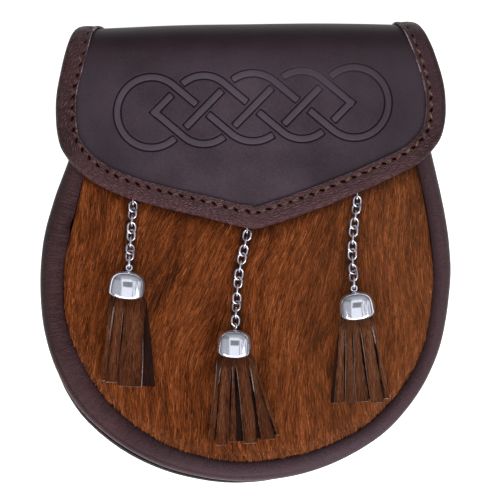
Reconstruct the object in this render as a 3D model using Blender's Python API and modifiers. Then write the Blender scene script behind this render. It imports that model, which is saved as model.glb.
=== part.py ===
"""A sporran pouch lying on its back: a leather pouch with a hide front, a folded flap and three tassels.

The back rests on z = 0, the front faces +Z, the top of the pouch points to +Y and +X is to the right.
All sizes below are in millimetres, and MM turns them into Blender's metres.
"""

import math

import bmesh
import bpy
import numpy as np
from mathutils import Matrix, Vector

MM = 0.001
GAP = 0.3                 # clearance kept between neighbouring pieces
FRAME_SHIFT = (0.03, -0.35, 0.0)   # brings the middle of the whole outline over the origin

# ---- pouch body ----------------------------------------------------------------------------------
# The outer edge of the front roll, from its left top end round the bottom to its right top end.
BODY_EDGE = [
    # x,     y,      roll width, gusset bulge past the roll
    (-68.0, 86.5, 8.5, -1.0),
    (-70.8, 66.0, 8.5, -1.0),
    (-77.6, 42.0, 8.5, -1.0),
    (-84.3, 22.9, 10.6, -0.6),
    (-88.7, 5.3, 10.8, -0.4),
    (-90.0, -14.5, 10.1, -0.4),
    (-88.2, -34.3, 10.2, -0.2),
    (-82.2, -53.0, 11.4, 0.8),
    (-70.6, -71.0, 11.4, 2.0),
    (-51.7, -86.3, 10.4, 2.4),
    (-28.8, -96.2, 9.0, 2.2),
    (-1.5, -100.4, 8.6, 1.4),
    (28.8, -96.0, 8.4, 0.0),
    (55.6, -83.2, 7.7, -0.8),
    (73.7, -65.1, 7.5, -1.0),
    (84.7, -43.1, 6.8, -1.0),
    (89.5, -16.7, 7.2, -1.0),
    (89.3, 4.0, 7.8, -1.0),
    (85.8, 26.0, 7.5, -1.0),
    (80.2, 52.0, 7.6, -1.0),
    (74.0, 86.5, 7.6, -1.0),
]
BODY_STATIONS = 52
MOUTH_Y = 86.5            # the open top edge of the pouch
SEAM_LOW = 27.5           # height of the front seam over the lower half
SEAM_TOP = 15.0           # height of the front seam at the mouth, where the pouch is thin
SEAM_RISE_Y = (0.0, 90.0)  # the seam falls from one to the other between these

BACK_THICK = 2.4
BACK_INSET = 0.4
BACK_PUSH = 6.9           # how far the strap loops push the middle of the back in
PUSH_RINGS = (0.70, 0.90)  # pushed in fully up to the first share of the way out, not past the second

GUSSET_THICK = 1.8
GUSSET_INSET = 1.0
GUSSET_SWELL = [
    # height share, share of the bulge
    (0.0, 0.0),
    (0.3, 0.50),
    (0.6, 0.90),
    (0.82, 1.0),
    (1.0, 0.60),
]

ROLL_HEIGHT = 7.5
ROLL_SECTION = [
    # share of width inwards, share of height
    (0.16, 0.0),
    (0.03, 0.16),
    (0.0, 0.42),
    (0.07, 0.74),
    (0.25, 0.95),
    (0.48, 1.0),
    (0.72, 0.90),
    (0.92, 0.68),
    (1.0, 0.40),
    (0.92, 0.0),
]

HIDE_THICK = 3.0          # skin and lying hair together
HIDE_EDGE = 3.5           # top of the hide over the seam at its border
HIDE_CROWN = 4.0
HIDE_TOP_Y = 85.5
HIDE_OVAL = (0.0, -8.0, 86.0, 98.0)   # centre and half sizes of the crown

# ---- flap ----------------------------------------------------------------------------------------
# Outer edge of the bound flap, laid flat: y above the fold runs on over the fold and down the back.
FLAP_THICK = 2.0
FLAP_LIFT = 11.4
FLAP_CROWN = 2.2
FLAP_CROWN_HALF = 68.0
FOLD_Y = 88.0
FOLD_SLANT = 0.0139       # the fold rises to the right
FOLD_LENGTH = 38.6
TAIL_Z = 3.7              # middle of the leather where it is seamed to the back
TAIL_LENGTH = 9.0
TAIL_X = (-62.0, 68.0)
SEAM_END = FOLD_Y + FOLD_LENGTH - 1.6   # the binding stops here, just short of the back
FLAP_SIDE_LEFT = [
    (-64.1, FOLD_Y + FOLD_LENGTH + 2.4),
    (-72.3, FOLD_Y + 0.5 * FOLD_LENGTH),
    (-79.6, FOLD_Y),
    (-83.0, 71.5),
    (-83.5, 60.8),
    (-82.4, 50.5),
    (-79.5, 43.2),
]
FLAP_HEM = [
    (-79.5, 43.2),
    (-71.6, 34.2),
    (-57.2, 25.6),
    (-40.1, 19.8),
    (-19.5, 14.6),
    (-4.0, 11.2),
    (4.4, 10.4),
    (14.0, 12.9),
    (30.0, 18.4),
    (48.4, 25.8),
    (63.8, 33.0),
    (75.8, 39.4),
    (84.2, 47.6),
]
FLAP_SIDE_RIGHT = [
    (84.2, 47.6),
    (87.3, 55.2),
    (88.2, 64.3),
    (87.2, 75.1),
    (83.4, FOLD_Y),
    (77.0, FOLD_Y + 0.5 * FOLD_LENGTH),
    (69.7, FOLD_Y + FOLD_LENGTH + 2.4),
]
FLAP_COLUMNS = 20
FLAP_FRONT_ROWS = 10
FLAP_FOLD_ROWS = 12
FLAP_TAIL_ROWS = 2

BIND_WIDTH = 9.0
BIND_THICK = 1.0
BIND_EDGE = 1.6           # solid nose of the binding past the flap's own edge
BIND_FRONT_STATIONS = 62

# ---- strap loops on the back ----------------------------------------------------------------------
LOOP_X = (-36.0, 36.0)
LOOP_WIDTH = 26.0
LOOP_THICK = 2.0
LOOP_PATH = [
    # y, height of the leather's middle
    (-16.0, 5.6),
    (-9.0, 5.6),
    (-6.5, 4.9),
    (-3.5, 2.2),
    (-1.0, 1.3),
    (29.0, 1.3),
    (31.5, 2.2),
    (34.5, 4.9),
    (37.0, 5.6),
    (44.0, 5.6),
]

# ---- chains, caps and tassels ----------------------------------------------------------------------
LINK_WIDTH = 4.5
LINK_LENGTH = 5.5
WIRE = 0.72
LINK_POINTS = 10
LINK_TWIST = 60.0         # each link is turned this much from the one before
CHAIN_LOW = 1.8           # axis of the first link over the hide
CHAIN_HIGH = 2.75         # axis of the others
CHAIN_SETTLE = 6.5
CHAIN_CLIMB = 13.0        # the last stretch climbs to the cap's eye
STAPLE_FEET = (0.75, 4.4)  # both feet above the first link's centre, along Y
STAPLE_RISE = 3.15        # its bridge over the hide
STAPLE_BEND = 0.9         # size of the bends between its feet and the bridge
EYE_REACH = 2.4           # last link's centre to the eye's centre

CHAINS = {
    # links, first turn in degrees, then the first link, the middle and the eye, each as x, y
    "left": (9, 150.0, (-49.2, 20.1), (-50.0, 6.9), (-50.6, -6.6)),
    "middle": (12, 30.0, (0.7, 7.6), (-2.9, -10.0), (-4.5, -32.0)),
    "right": (12, 150.0, (48.9, 22.4), (46.7, 3.4), (47.3, -15.6)),
}

CAP_RADIUS = 7.4
CAP_LENGTH = 12.0
CAP_STEPS = 18
CAP_REST = (3.0, 9.0, 14.0)   # where the hide under a cap is read, down from its eye
CAP_PROFILE = [
    # radius, distance below the top: down the outside, then up the inside
    (0.0, 0.0),
    (2.7, 0.35),
    (4.9, 1.4),
    (6.4, 3.1),
    (7.1, 5.4),
    (7.35, 8.6),
    (7.4, 11.2),
    (7.1, 12.0),
    (6.6, 12.0),
    (6.4, 10.8),
    (6.2, 5.8),
    (5.2, 3.6),
    (3.0, 1.9),
    (0.0, 1.4),
]
EYE_RADIUS = 1.85
EYE_WIRE = 0.42
EYE_RISE = 1.45           # eye's centre over the cap's top

TASSELS = {
    # cap lean and tassel lean in degrees (positive swings the lower end to +X), width at the end
    "left": (-3.0, -0.5, 24.0),
    "middle": (1.5, 6.0, 31.0),
    "right": (4.0, 3.0, 23.0),
}
TASSEL_LENGTH = 37.6
TASSEL_ROWS = [
    # distance below the cap's mouth, width share between top and end (-1: round neck), thickness
    (-5.5, -1.0, 10.8),
    (0.4, -1.0, 11.2),
    (1.4, 0.10, 12.0),
    (5.0, 0.22, 10.6),
    (12.0, 0.40, 8.6),
    (25.0, 0.74, 6.8),
    (37.6, 1.0, 5.6),
]
TASSEL_NECK = 13.2        # width just below the cap
TASSEL_SETTLED = 0.8      # share of the length by which a tassel lies on the hide
TASSEL_SIDES = 20

COLOURS = {
    # base colour, roughness, metallic
    "flap_leather": ((0.063, 0.043, 0.055), 0.55, 0.0),
    "trim_leather": ((0.056, 0.030, 0.034), 0.5, 0.0),
    "body_leather": ((0.058, 0.034, 0.037), 0.5, 0.0),
    "hair_hide": ((0.165, 0.045, 0.014), 0.8, 0.0),
    "tassel_hide": ((0.095, 0.034, 0.016), 0.75, 0.0),
    "chrome": ((0.72, 0.72, 0.75), 0.12, 1.0),
}


# ---- small tools -----------------------------------------------------------------------------------
def clear_scene():
    for item in list(bpy.data.objects):
        bpy.data.objects.remove(item, do_unlink=True)


def make_material(name):
    colour, roughness, metallic = COLOURS[name]
    material = bpy.data.materials.new(name)
    material.use_nodes = True
    shader = material.node_tree.nodes["Principled BSDF"]
    shader.inputs["Base Color"].default_value = (*colour, 1.0)
    shader.inputs["Roughness"].default_value = roughness
    shader.inputs["Metallic"].default_value = metallic
    material.diffuse_color = (*colour, 1.0)
    return material


def place(item, material):
    """Give the piece its material, put it in the pouch's collection and hang it on the pouch's empty."""
    item.data.materials.append(MATERIALS[material])
    PARTS.objects.link(item)
    item.parent = ROOT
    return item


def piece(name, points, faces, material, outward_faces=False):
    """A named mesh from points in millimetres."""
    mesh = bpy.data.meshes.new(name)
    mesh.from_pydata((np.asarray(points, float) * MM).tolist(), [], faces)
    if outward_faces:
        work = bmesh.new()
        work.from_mesh(mesh)
        bmesh.ops.recalc_face_normals(work, faces=work.faces)
        work.to_mesh(mesh)
        work.free()
    mesh.shade_smooth()
    mesh.set_sharp_from_angle(angle=math.radians(50))
    return place(bpy.data.objects.new(name, mesh), material)


def thicken(item, thickness, offset, even=True):
    """Turn an open sheet into leather; offset -1 grows it behind the faces, 0 on both sides."""
    solidify = item.modifiers.new("leather", "SOLIDIFY")
    solidify.thickness = thickness * MM
    solidify.offset = offset
    solidify.use_even_offset = even
    return item


def smooth_rows(rows, count):
    """Pass a smooth curve through the rows and read every column at evenly spaced places along it."""
    rows = np.array(rows, float)
    padded = np.vstack([2 * rows[0] - rows[1], rows, 2 * rows[-1] - rows[-2]])
    share = np.linspace(0.0, 1.0, 16, endpoint=False)[:, None]
    pieces = []
    for before, start, end, after in zip(padded[:-3], padded[1:-2], padded[2:-1], padded[3:]):
        cubic = -before + 3 * start - 3 * end + after
        square = 2 * before - 5 * start + 4 * end - after
        pieces.append(0.5 * (2 * start + (end - before) * share + square * share**2 + cubic * share**3))
    fine = np.vstack(pieces + [rows[-1:]])
    steps = np.linalg.norm(np.diff(fine[:, :2], axis=0), axis=1)
    along = np.concatenate([[0.0], np.cumsum(steps)])
    wanted = np.linspace(0.0, along[-1], count)
    return np.column_stack([np.interp(wanted, along, column) for column in fine.T])


def side_normals(path):
    """Unit normals to the right of a path in the XY plane."""
    tangent = np.gradient(path[:, :2], axis=0)
    normal = np.column_stack([tangent[:, 1], -tangent[:, 0]])
    return normal / np.linalg.norm(normal, axis=1)[:, None]


def smooth_step(value):
    value = np.clip(value, 0.0, 1.0)
    return value * value * (3.0 - 2.0 * value)


def strip_faces(rows, columns, closed=False):
    """Quads over a grid of rows of points; closed joins each row's last point to its first."""
    faces = []
    spans = columns if closed else columns - 1
    for row in range(rows - 1):
        for column in range(spans):
            a = row * columns + column
            b = row * columns + (column + 1) % columns
            faces.append((a, b, b + columns, a + columns))
    return faces


def sheet(name, grid, material):
    """An open sheet over a grid of points (rows, columns, 3)."""
    rows, columns = grid.shape[:2]
    return piece(name, grid.reshape(-1, 3), strip_faces(rows, columns), material)


def loft(name, sections, material):
    """A closed solid through closed sections (rows, points, 3), with flat ends."""
    rows, count = sections.shape[:2]
    faces = strip_faces(rows, count, closed=True)
    faces.append(tuple(range(count)))
    faces.append(tuple(range((rows - 1) * count, rows * count)))
    return piece(name, sections.reshape(-1, 3), faces, material, outward_faces=True)


def dished_panel(name, outline, rings, height, material):
    """A sheet of rings shrunk towards the outline's middle, lifted by height(x, y, share of the way out)."""
    centre = outline.mean(axis=0)
    count = len(outline)
    points = np.vstack([centre[None]] + [centre + (outline - centre) * ring for ring in rings])
    shares = np.concatenate([[0.0], np.repeat(rings, count)])
    faces = [(0, 1 + i, 1 + (i + 1) % count) for i in range(count)]
    shifted = strip_faces(len(rings), count, closed=True)
    # rings run outwards, so each quad is turned to face up like the fan in the middle
    faces += [(a + 1, d + 1, c + 1, b + 1) for a, b, c, d in shifted]
    lifted = np.column_stack([points, height(points[:, 0], points[:, 1], shares)])
    return piece(name, lifted, faces, material)


# ---- shape of the pouch ------------------------------------------------------------------------------
def seam_height(y):
    low, high = SEAM_RISE_Y
    return SEAM_TOP + (SEAM_LOW - SEAM_TOP) * (1.0 - smooth_step((y - low) / (high - low)))


def hide_top(x, y, _share=None):
    x_mid, y_mid, x_half, y_half = HIDE_OVAL
    inside = np.clip(1.0 - ((x - x_mid) / x_half) ** 2 - ((y - y_mid) / y_half) ** 2, 0.0, 1.0)
    return seam_height(y) + HIDE_EDGE + HIDE_CROWN * inside**0.7


def back_inside(_x, _y, share):
    """Inner face of the back: flat at the rim, pushed in over the strap loops."""
    flat, rim = PUSH_RINGS
    return BACK_THICK + BACK_PUSH * (1.0 - smooth_step((share - flat) / (rim - flat)))


def flap_front(x, y):
    """Middle of the flap's leather over the front of the pouch."""
    return seam_height(y) + FLAP_LIFT + FLAP_CROWN * (1.0 - (x / FLAP_CROWN_HALF) ** 2)


def roll_up(x, y):
    """Carry points of the flat flap pattern onto the folded flap's middle surface."""
    fold = FOLD_Y + FOLD_SLANT * x
    top = flap_front(x, fold)
    radius = 0.5 * (top - TAIL_Z)
    past = y - fold
    turn = math.pi * np.clip(past / FOLD_LENGTH, 0.0, 1.0)
    y_fold = fold + radius * np.sin(turn) - np.clip(past - FOLD_LENGTH, 0.0, None)
    z_fold = TAIL_Z + radius * (1.0 + np.cos(turn))
    on_front = past <= 0.0
    y_out = np.where(on_front, y, y_fold)
    z_out = np.where(on_front, flap_front(x, y), z_fold)
    return np.stack([x, y_out, z_out], axis=-1)


def flap_normal(x, y):
    """Outward normal of the folded flap at points of its flat pattern."""
    step = 0.05
    along_x = roll_up(x + step, y) - roll_up(x - step, y)
    along_y = roll_up(x, y + step) - roll_up(x, y - step)
    normal = np.cross(along_x, along_y)
    return normal / np.linalg.norm(normal, axis=-1)[..., None]


def coons_patch(low, high, left, right):
    """Fill four boundary curves that share their corners; low and high run left to right."""
    across = np.linspace(0.0, 1.0, len(low))[None, :, None]
    up = np.linspace(0.0, 1.0, len(left))[:, None, None]
    ruled = (1 - up) * low[None] + up * high[None] + (1 - across) * left[:, None] + across * right[:, None]
    corners = (1 - up) * ((1 - across) * low[0] + across * low[-1])
    corners = corners + up * ((1 - across) * high[0] + across * high[-1])
    return ruled - corners


# ---- pieces --------------------------------------------------------------------------------------------
def body_path():
    return smooth_rows(BODY_EDGE, BODY_STATIONS)


def closed_outline(path, inset, top_y):
    """The body outline moved in by inset, closed by the straight line of the mouth at top_y."""
    edge = path[:, :2] - side_normals(path) * inset
    edge = edge[edge[:, 1] < top_y]
    left, right = edge[0], edge[-1]
    top = np.linspace((right[0], top_y), (left[0], top_y), 10)
    return np.vstack([edge, top])


def make_back_panel(path):
    outline = closed_outline(path, BACK_INSET, MOUTH_Y)
    rings = (0.4, 0.70, 0.76, 0.84, 0.9, 0.94, 1.0)
    panel = dished_panel("back_panel", outline, rings, back_inside, "body_leather")
    # an even offset would carry the foot of the slope below the flat rim
    return thicken(panel, BACK_THICK, -1.0, even=False)


def make_gusset(path):
    normals = side_normals(path)
    low = BACK_THICK + GAP
    high = seam_height(path[:, 1])
    rows = []
    for height_share, bulge_share in GUSSET_SWELL:
        offset = -GUSSET_INSET + bulge_share * (path[:, 3] + GUSSET_INSET)
        edge = path[:, :2] + normals * offset[:, None]
        rows.append(np.column_stack([edge, low + (high - low) * height_share]))
    return thicken(sheet("gusset", np.array(rows), "body_leather"), GUSSET_THICK, -1.0)


def make_rim_roll(path):
    normals = side_normals(path)
    base = seam_height(path[:, 1]) + GAP
    sections = []
    for width_share, height_share in ROLL_SECTION:
        edge = path[:, :2] - normals * (path[:, 2] * width_share)[:, None]
        sections.append(np.column_stack([edge, base + ROLL_HEIGHT * height_share]))
    return loft("rim_roll", np.array(sections).transpose(1, 0, 2), "trim_leather")


def make_hide_front(path):
    outline = closed_outline(path, (path[:, 2] + GAP)[:, None], HIDE_TOP_Y)
    panel = dished_panel("hide_front", outline, (0.25, 0.5, 0.7, 0.86, 1.0), hide_top, "hair_hide")
    return thicken(panel, HIDE_THICK, -1.0)


def flap_outline(inset=0.0):
    """The flap's whole outer edge in the flat, moved in by inset."""
    fine = smooth_rows(FLAP_SIDE_LEFT + FLAP_HEM[1:] + FLAP_SIDE_RIGHT[1:], 500)
    return fine - side_normals(fine) * inset


def fold_rows():
    return np.linspace(FOLD_Y, SEAM_END, FLAP_FOLD_ROWS + 1)


def split_outline(outline):
    """Part the outline into the front's edge and the x places of both sides along the fold's rows."""
    middle = np.argmin(outline[:, 1])
    left, right = outline[:middle][::-1], outline[middle:]
    left_x = np.interp(fold_rows(), left[:, 1], left[:, 0])
    right_x = np.interp(fold_rows(), right[:, 1], right[:, 0])
    front = outline[outline[:, 1] < FOLD_Y]
    front = np.vstack([(left_x[0], FOLD_Y), front, (right_x[0], FOLD_Y)])
    return front, left_x, right_x


def make_flap():
    front, left_x, right_x = split_outline(flap_outline(BIND_EDGE + 2 * GAP))
    left_corner = np.argmin(np.hypot(*(front - FLAP_SIDE_LEFT[-1]).T))
    right_corner = np.argmin(np.hypot(*(front - FLAP_SIDE_RIGHT[0]).T))
    hem = smooth_rows(front[left_corner:right_corner + 1], FLAP_COLUMNS)
    left = smooth_rows(front[:left_corner + 1][::-1], FLAP_FRONT_ROWS + 1)
    right = smooth_rows(front[right_corner:], FLAP_FRONT_ROWS + 1)
    top = np.linspace(left[-1], right[-1], FLAP_COLUMNS)
    grid = list(coons_patch(hem, top, left, right))[:-1]
    ends = list(zip(left_x, right_x, fold_rows()))
    ends += [(*TAIL_X, y) for y in np.linspace(SEAM_END + 1.5, SEAM_END + TAIL_LENGTH, FLAP_TAIL_ROWS + 1)]
    for left_end, right_end, y in ends:
        grid.append(np.column_stack([np.linspace(left_end, right_end, FLAP_COLUMNS), np.full(FLAP_COLUMNS, y)]))
    grid = np.array(grid)
    return thicken(sheet("flap", roll_up(grid[..., 0], grid[..., 1]), "flap_leather"), FLAP_THICK, 0.0)


def binding_section():
    """The folded band's section: distance in from the edge, height off the flap's middle."""
    inner = 0.5 * FLAP_THICK + GAP
    outer = inner + BIND_THICK
    return [
        (BIND_WIDTH, inner), (BIND_WIDTH, outer), (outer, outer), (0.3 * outer, 0.7 * outer),
        (0.0, 0.0),
        (0.3 * outer, -0.7 * outer), (outer, -outer), (BIND_WIDTH, -outer), (BIND_WIDTH, -inner),
        (BIND_EDGE + GAP, -inner), (BIND_EDGE, 0.0), (BIND_EDGE + GAP, inner),
    ]


def make_flap_binding():
    front, left_x, right_x = split_outline(flap_outline())
    front = smooth_rows(front, BIND_FRONT_STATIONS)
    rows = fold_rows()[1:]
    left = np.column_stack([left_x[1:], rows])[::-1]
    right = np.column_stack([right_x[1:], rows])
    edge = np.vstack([left, front, right])
    inward = -side_normals(edge)
    # over the fold the band's sections lie along the rows of the bend, as wide as elsewhere
    on_fold = edge[:, 1] >= FOLD_Y
    inward[on_fold] = np.column_stack([1.0 / inward[on_fold, 0], np.zeros(on_fold.sum())])
    section = []
    for distance, height in binding_section():
        flat = edge + inward * distance
        x, y = flat[:, 0], flat[:, 1]
        section.append(roll_up(x, y) + flap_normal(x, y) * height)
    return loft("flap_binding", np.array(section).transpose(1, 0, 2), "trim_leather")


def make_strap_loop(name, x):
    path = np.array(LOOP_PATH)
    sides = x + LOOP_WIDTH * np.array([-0.5, 0.5])
    grid = [[(side, y, z) for side in sides] for y, z in path]
    return thicken(sheet(name, np.array(grid), "body_leather"), LOOP_THICK, 0.0)


# ---- chains ----------------------------------------------------------------------------------------------
def wire_curve(name, points, wire, cyclic, resolution=1):
    """A round wire along points in millimetres, as curve data that several objects may share."""
    curve = bpy.data.curves.new(name, "CURVE")
    curve.dimensions = "3D"
    curve.bevel_depth = 0.5 * wire * MM
    curve.bevel_resolution = resolution
    curve.use_fill_caps = not cyclic
    spline = curve.splines.new("POLY")
    spline.points.add(len(points) - 1)
    for target, point in zip(spline.points, points):
        target.co = (*(Vector(point) * MM), 1.0)
    spline.use_cyclic_u = cyclic
    return curve


def link_points():
    """Middle line of one link's wire: two half rounds joined by short straight sides, along local Y."""
    radius = 0.5 * (LINK_WIDTH - WIRE)
    straight = 0.5 * (LINK_LENGTH - LINK_WIDTH)
    points = []
    for step in range(LINK_POINTS):
        angle = 2 * math.pi * (step + 0.5) / LINK_POINTS
        shift = straight if math.sin(angle) > 0 else -straight
        points.append((radius * math.cos(angle), shift + radius * math.sin(angle), 0.0))
    return points


def cap_axis_height(eye, lean):
    """Height of a cap's axis, so that its skirt just clears the hide under it."""
    under = [(eye[0] + down * math.sin(lean), eye[1] - down * math.cos(lean)) for down in CAP_REST]
    return max(float(hide_top(x, y)) for x, y in under) + CAP_RADIUS + GAP


def chain_route(key):
    """A chain's middle line in millimetres, from its first link's centre to its cap's eye."""
    _, _, first, middle, eye = CHAINS[key]
    route = smooth_rows([first, middle, eye], 200)
    steps = np.linalg.norm(np.diff(route, axis=0), axis=1)
    along = np.concatenate([[0.0], np.cumsum(steps)])
    ground = hide_top(route[:, 0], route[:, 1])
    height = CHAIN_LOW + (CHAIN_HIGH - CHAIN_LOW) * smooth_step(along / CHAIN_SETTLE)
    climb = smooth_step((along - along[-1] + CHAIN_CLIMB) / CHAIN_CLIMB)
    top = cap_axis_height(eye, math.radians(TASSELS[key][0]))
    z = (ground + height) * (1 - climb) + top * climb
    return np.column_stack([route, z])


def frame_matrix(origin, y_axis, roll):
    """A placement with local Y along y_axis, turned about it from lying flat by roll degrees."""
    y_axis = Vector(y_axis).normalized()
    x_axis = y_axis.cross(Vector((0, 0, 1))).normalized()
    z_axis = x_axis.cross(y_axis)
    turn = Matrix((x_axis, y_axis, z_axis)).transposed().to_4x4()
    return Matrix.Translation(Vector(origin) * MM) @ turn @ Matrix.Rotation(math.radians(roll), 4, "Y")


def make_chain(key, link_data):
    count, first_turn = CHAINS[key][:2]
    route = chain_route(key)
    steps = np.linalg.norm(np.diff(route, axis=0), axis=1)
    along = np.concatenate([[0.0], np.cumsum(steps)])
    places = np.linspace(0.0, along[-1] - EYE_REACH, count)
    for number, distance in enumerate(places):
        here = np.array([np.interp(distance, along, axis) for axis in route.T])
        ahead = np.array([np.interp(distance + 1.0, along, axis) for axis in route.T])
        link = bpy.data.objects.new(f"{key}_link_{number + 1:02d}", link_data)
        PARTS.objects.link(link)
        link.parent = ROOT
        link.matrix_world = frame_matrix(here, ahead - here, first_turn + LINK_TWIST * number)


def make_staple(key):
    """A wire staple over the first link's upper end, both feet on the hide under the flap's hem."""
    first = CHAINS[key][2]
    x, y = first
    feet = (y + STAPLE_FEET[0], y + STAPLE_FEET[1])
    bridge = float(hide_top(x, sum(feet) / 2)) + STAPLE_RISE
    points = []
    for foot, inward in zip(feet, (1, -1)):
        ground = float(hide_top(x, foot)) + GAP
        side = [
            (x, foot, ground),
            (x, foot, bridge - STAPLE_BEND),
            (x, foot + 0.28 * STAPLE_BEND * inward, bridge - 0.28 * STAPLE_BEND),
            (x, foot + STAPLE_BEND * inward, bridge),
        ]
        points += side if inward > 0 else side[::-1]
    curve = wire_curve(f"{key}_staple", points, WIRE, cyclic=False)
    curve.materials.append(MATERIALS["chrome"])
    staple = bpy.data.objects.new(f"{key}_staple", curve)
    PARTS.objects.link(staple)
    staple.parent = ROOT


# ---- caps and tassels --------------------------------------------------------------------------------------
def cap_frame(key):
    """Placement of a cap: local origin at its top, local +Z out of the top towards the chain."""
    lean = math.radians(TASSELS[key][0])
    eye = CHAINS[key][4]
    height = cap_axis_height(eye, lean)
    upward = Vector((-math.sin(lean), math.cos(lean), 0.0))
    side = Vector((math.cos(lean), math.sin(lean), 0.0))
    depth = side.cross(upward)
    turn = Matrix((side, -depth, upward)).transposed().to_4x4()
    origin = Vector((*eye, height)) - upward * EYE_RISE
    return origin, upward, Matrix.Translation(origin * MM) @ turn


def make_cap(key):
    _, _, matrix = cap_frame(key)
    mesh = bpy.data.meshes.new(f"{key}_cap")
    points = [(radius * MM, 0.0, -depth * MM) for radius, depth in CAP_PROFILE]
    mesh.from_pydata(points, [(i, i + 1) for i in range(len(points) - 1)], [])
    cap = place(bpy.data.objects.new(f"{key}_cap", mesh), "chrome")
    cap.matrix_world = matrix
    screw = cap.modifiers.new("turned", "SCREW")
    screw.axis = "Z"
    screw.steps = CAP_STEPS
    screw.render_steps = CAP_STEPS
    screw.use_merge_vertices = True
    screw.merge_threshold = 0.00005
    screw.use_smooth_shade = True
    last_turn = CHAINS[key][1] + LINK_TWIST * (CHAINS[key][0] - 1)
    bpy.ops.mesh.primitive_torus_add(
        major_radius=(EYE_RADIUS - EYE_WIRE) * MM, minor_radius=EYE_WIRE * MM,
        major_segments=14, minor_segments=6)
    ring = bpy.context.active_object
    ring.name = f"{key}_eye_ring"
    for collection in list(ring.users_collection):
        collection.objects.unlink(ring)
    CUTTERS.objects.link(ring)
    ring.parent = ROOT
    ring.hide_render = True
    ring.display_type = "WIRE"
    upright = Matrix.Rotation(math.radians(90), 4, "X")
    spin = Matrix.Rotation(math.radians(-90.0 - last_turn), 4, "Z")
    ring.matrix_world = matrix @ Matrix.Translation((0, 0, EYE_RISE * MM)) @ spin @ upright
    union = cap.modifiers.new("eye", "BOOLEAN")
    union.operation = "UNION"
    union.solver = "EXACT"
    union.object = ring


def make_tassel(key):
    """The bundle of strips as one flattened flare, its neck inside the cap, its end lying on the hide."""
    lean = math.radians(TASSELS[key][1])
    width_end = TASSELS[key][2]
    origin, upward, _ = cap_frame(key)
    mouth = np.array(origin - upward * CAP_LENGTH)
    cap_down = -np.array(upward)
    hang_down = np.array([math.sin(lean), -math.cos(lean), 0.0])
    side = np.array([math.cos(lean), math.sin(lean), 0.0])
    sections = []
    for distance, share, thickness in TASSEL_ROWS:
        width = TASSEL_NECK + (width_end - TASSEL_NECK) * max(share, 0.0)
        if share < 0.0:
            width = thickness
        centre = mouth + (cap_down if share < 0.0 else hang_down) * distance
        settle = float(smooth_step(distance / (TASSEL_LENGTH * TASSEL_SETTLED)))
        ground = float(hide_top(centre[0], centre[1])) + GAP + 0.5 * thickness
        centre[2] = mouth[2] * (1 - settle) + ground * settle
        ring = []
        for step in range(TASSEL_SIDES):
            angle = 2 * math.pi * step / TASSEL_SIDES
            corner = 0.8 if share > 0.3 else 1.0
            wide = math.copysign(abs(math.cos(angle)) ** corner, math.cos(angle))
            tall = math.copysign(abs(math.sin(angle)) ** corner, math.sin(angle))
            ring.append(centre + side * (0.5 * width * wide) + np.array([0, 0, 0.5 * thickness * tall]))
        sections.append(ring)
    return loft(f"{key}_tassel", np.array(sections), "tassel_hide")


# ---- assembly ----------------------------------------------------------------------------------------------
clear_scene()
PARTS = bpy.data.collections.new("sporran_pouch")
CUTTERS = bpy.data.collections.new("cutters")
bpy.context.scene.collection.children.link(PARTS)
bpy.context.scene.collection.children.link(CUTTERS)
ROOT = bpy.data.objects.new("sporran", None)
PARTS.objects.link(ROOT)
MATERIALS = {name: make_material(name) for name in COLOURS}

BODY = body_path()
make_back_panel(BODY)
make_gusset(BODY)
make_rim_roll(BODY)
make_hide_front(BODY)
make_flap()
make_flap_binding()
make_strap_loop("strap_loop_left", LOOP_X[0])
make_strap_loop("strap_loop_right", LOOP_X[1])

LINK_DATA = wire_curve("chain_link", link_points(), WIRE, cyclic=True)
LINK_DATA.materials.append(MATERIALS["chrome"])
for KEY in CHAINS:
    make_chain(KEY, LINK_DATA)
    make_staple(KEY)
    make_cap(KEY)
    make_tassel(KEY)

ROOT.location = Vector(FRAME_SHIFT) * MM
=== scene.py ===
"""Looks of a sporran pouch lying on its back: grained leather, hair hide, stitching, chains and tassels.

Lengths are in millimetres in the pouch's own frame, and MM turns them into Blender's metres.
"""
import math

import bpy
import numpy as np
from mathutils import Matrix, Vector


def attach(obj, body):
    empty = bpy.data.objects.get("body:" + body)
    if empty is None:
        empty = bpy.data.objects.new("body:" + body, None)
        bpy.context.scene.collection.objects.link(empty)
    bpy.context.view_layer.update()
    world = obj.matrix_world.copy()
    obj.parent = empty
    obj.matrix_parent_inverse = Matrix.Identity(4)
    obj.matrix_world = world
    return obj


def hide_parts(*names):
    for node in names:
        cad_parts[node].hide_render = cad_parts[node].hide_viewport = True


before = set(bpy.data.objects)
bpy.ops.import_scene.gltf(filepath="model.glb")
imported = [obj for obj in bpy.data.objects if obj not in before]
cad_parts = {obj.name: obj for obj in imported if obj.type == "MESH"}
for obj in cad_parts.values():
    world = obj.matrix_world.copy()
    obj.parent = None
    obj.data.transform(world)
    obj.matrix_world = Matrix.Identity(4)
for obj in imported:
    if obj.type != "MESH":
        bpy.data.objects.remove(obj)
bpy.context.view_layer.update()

MM = 0.001
FRAME_SHIFT = np.array([0.03, -0.35, 0.0])  # brings the middle of the whole outline over the origin
GAP = 0.3                       # clearance between neighbouring pieces

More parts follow.
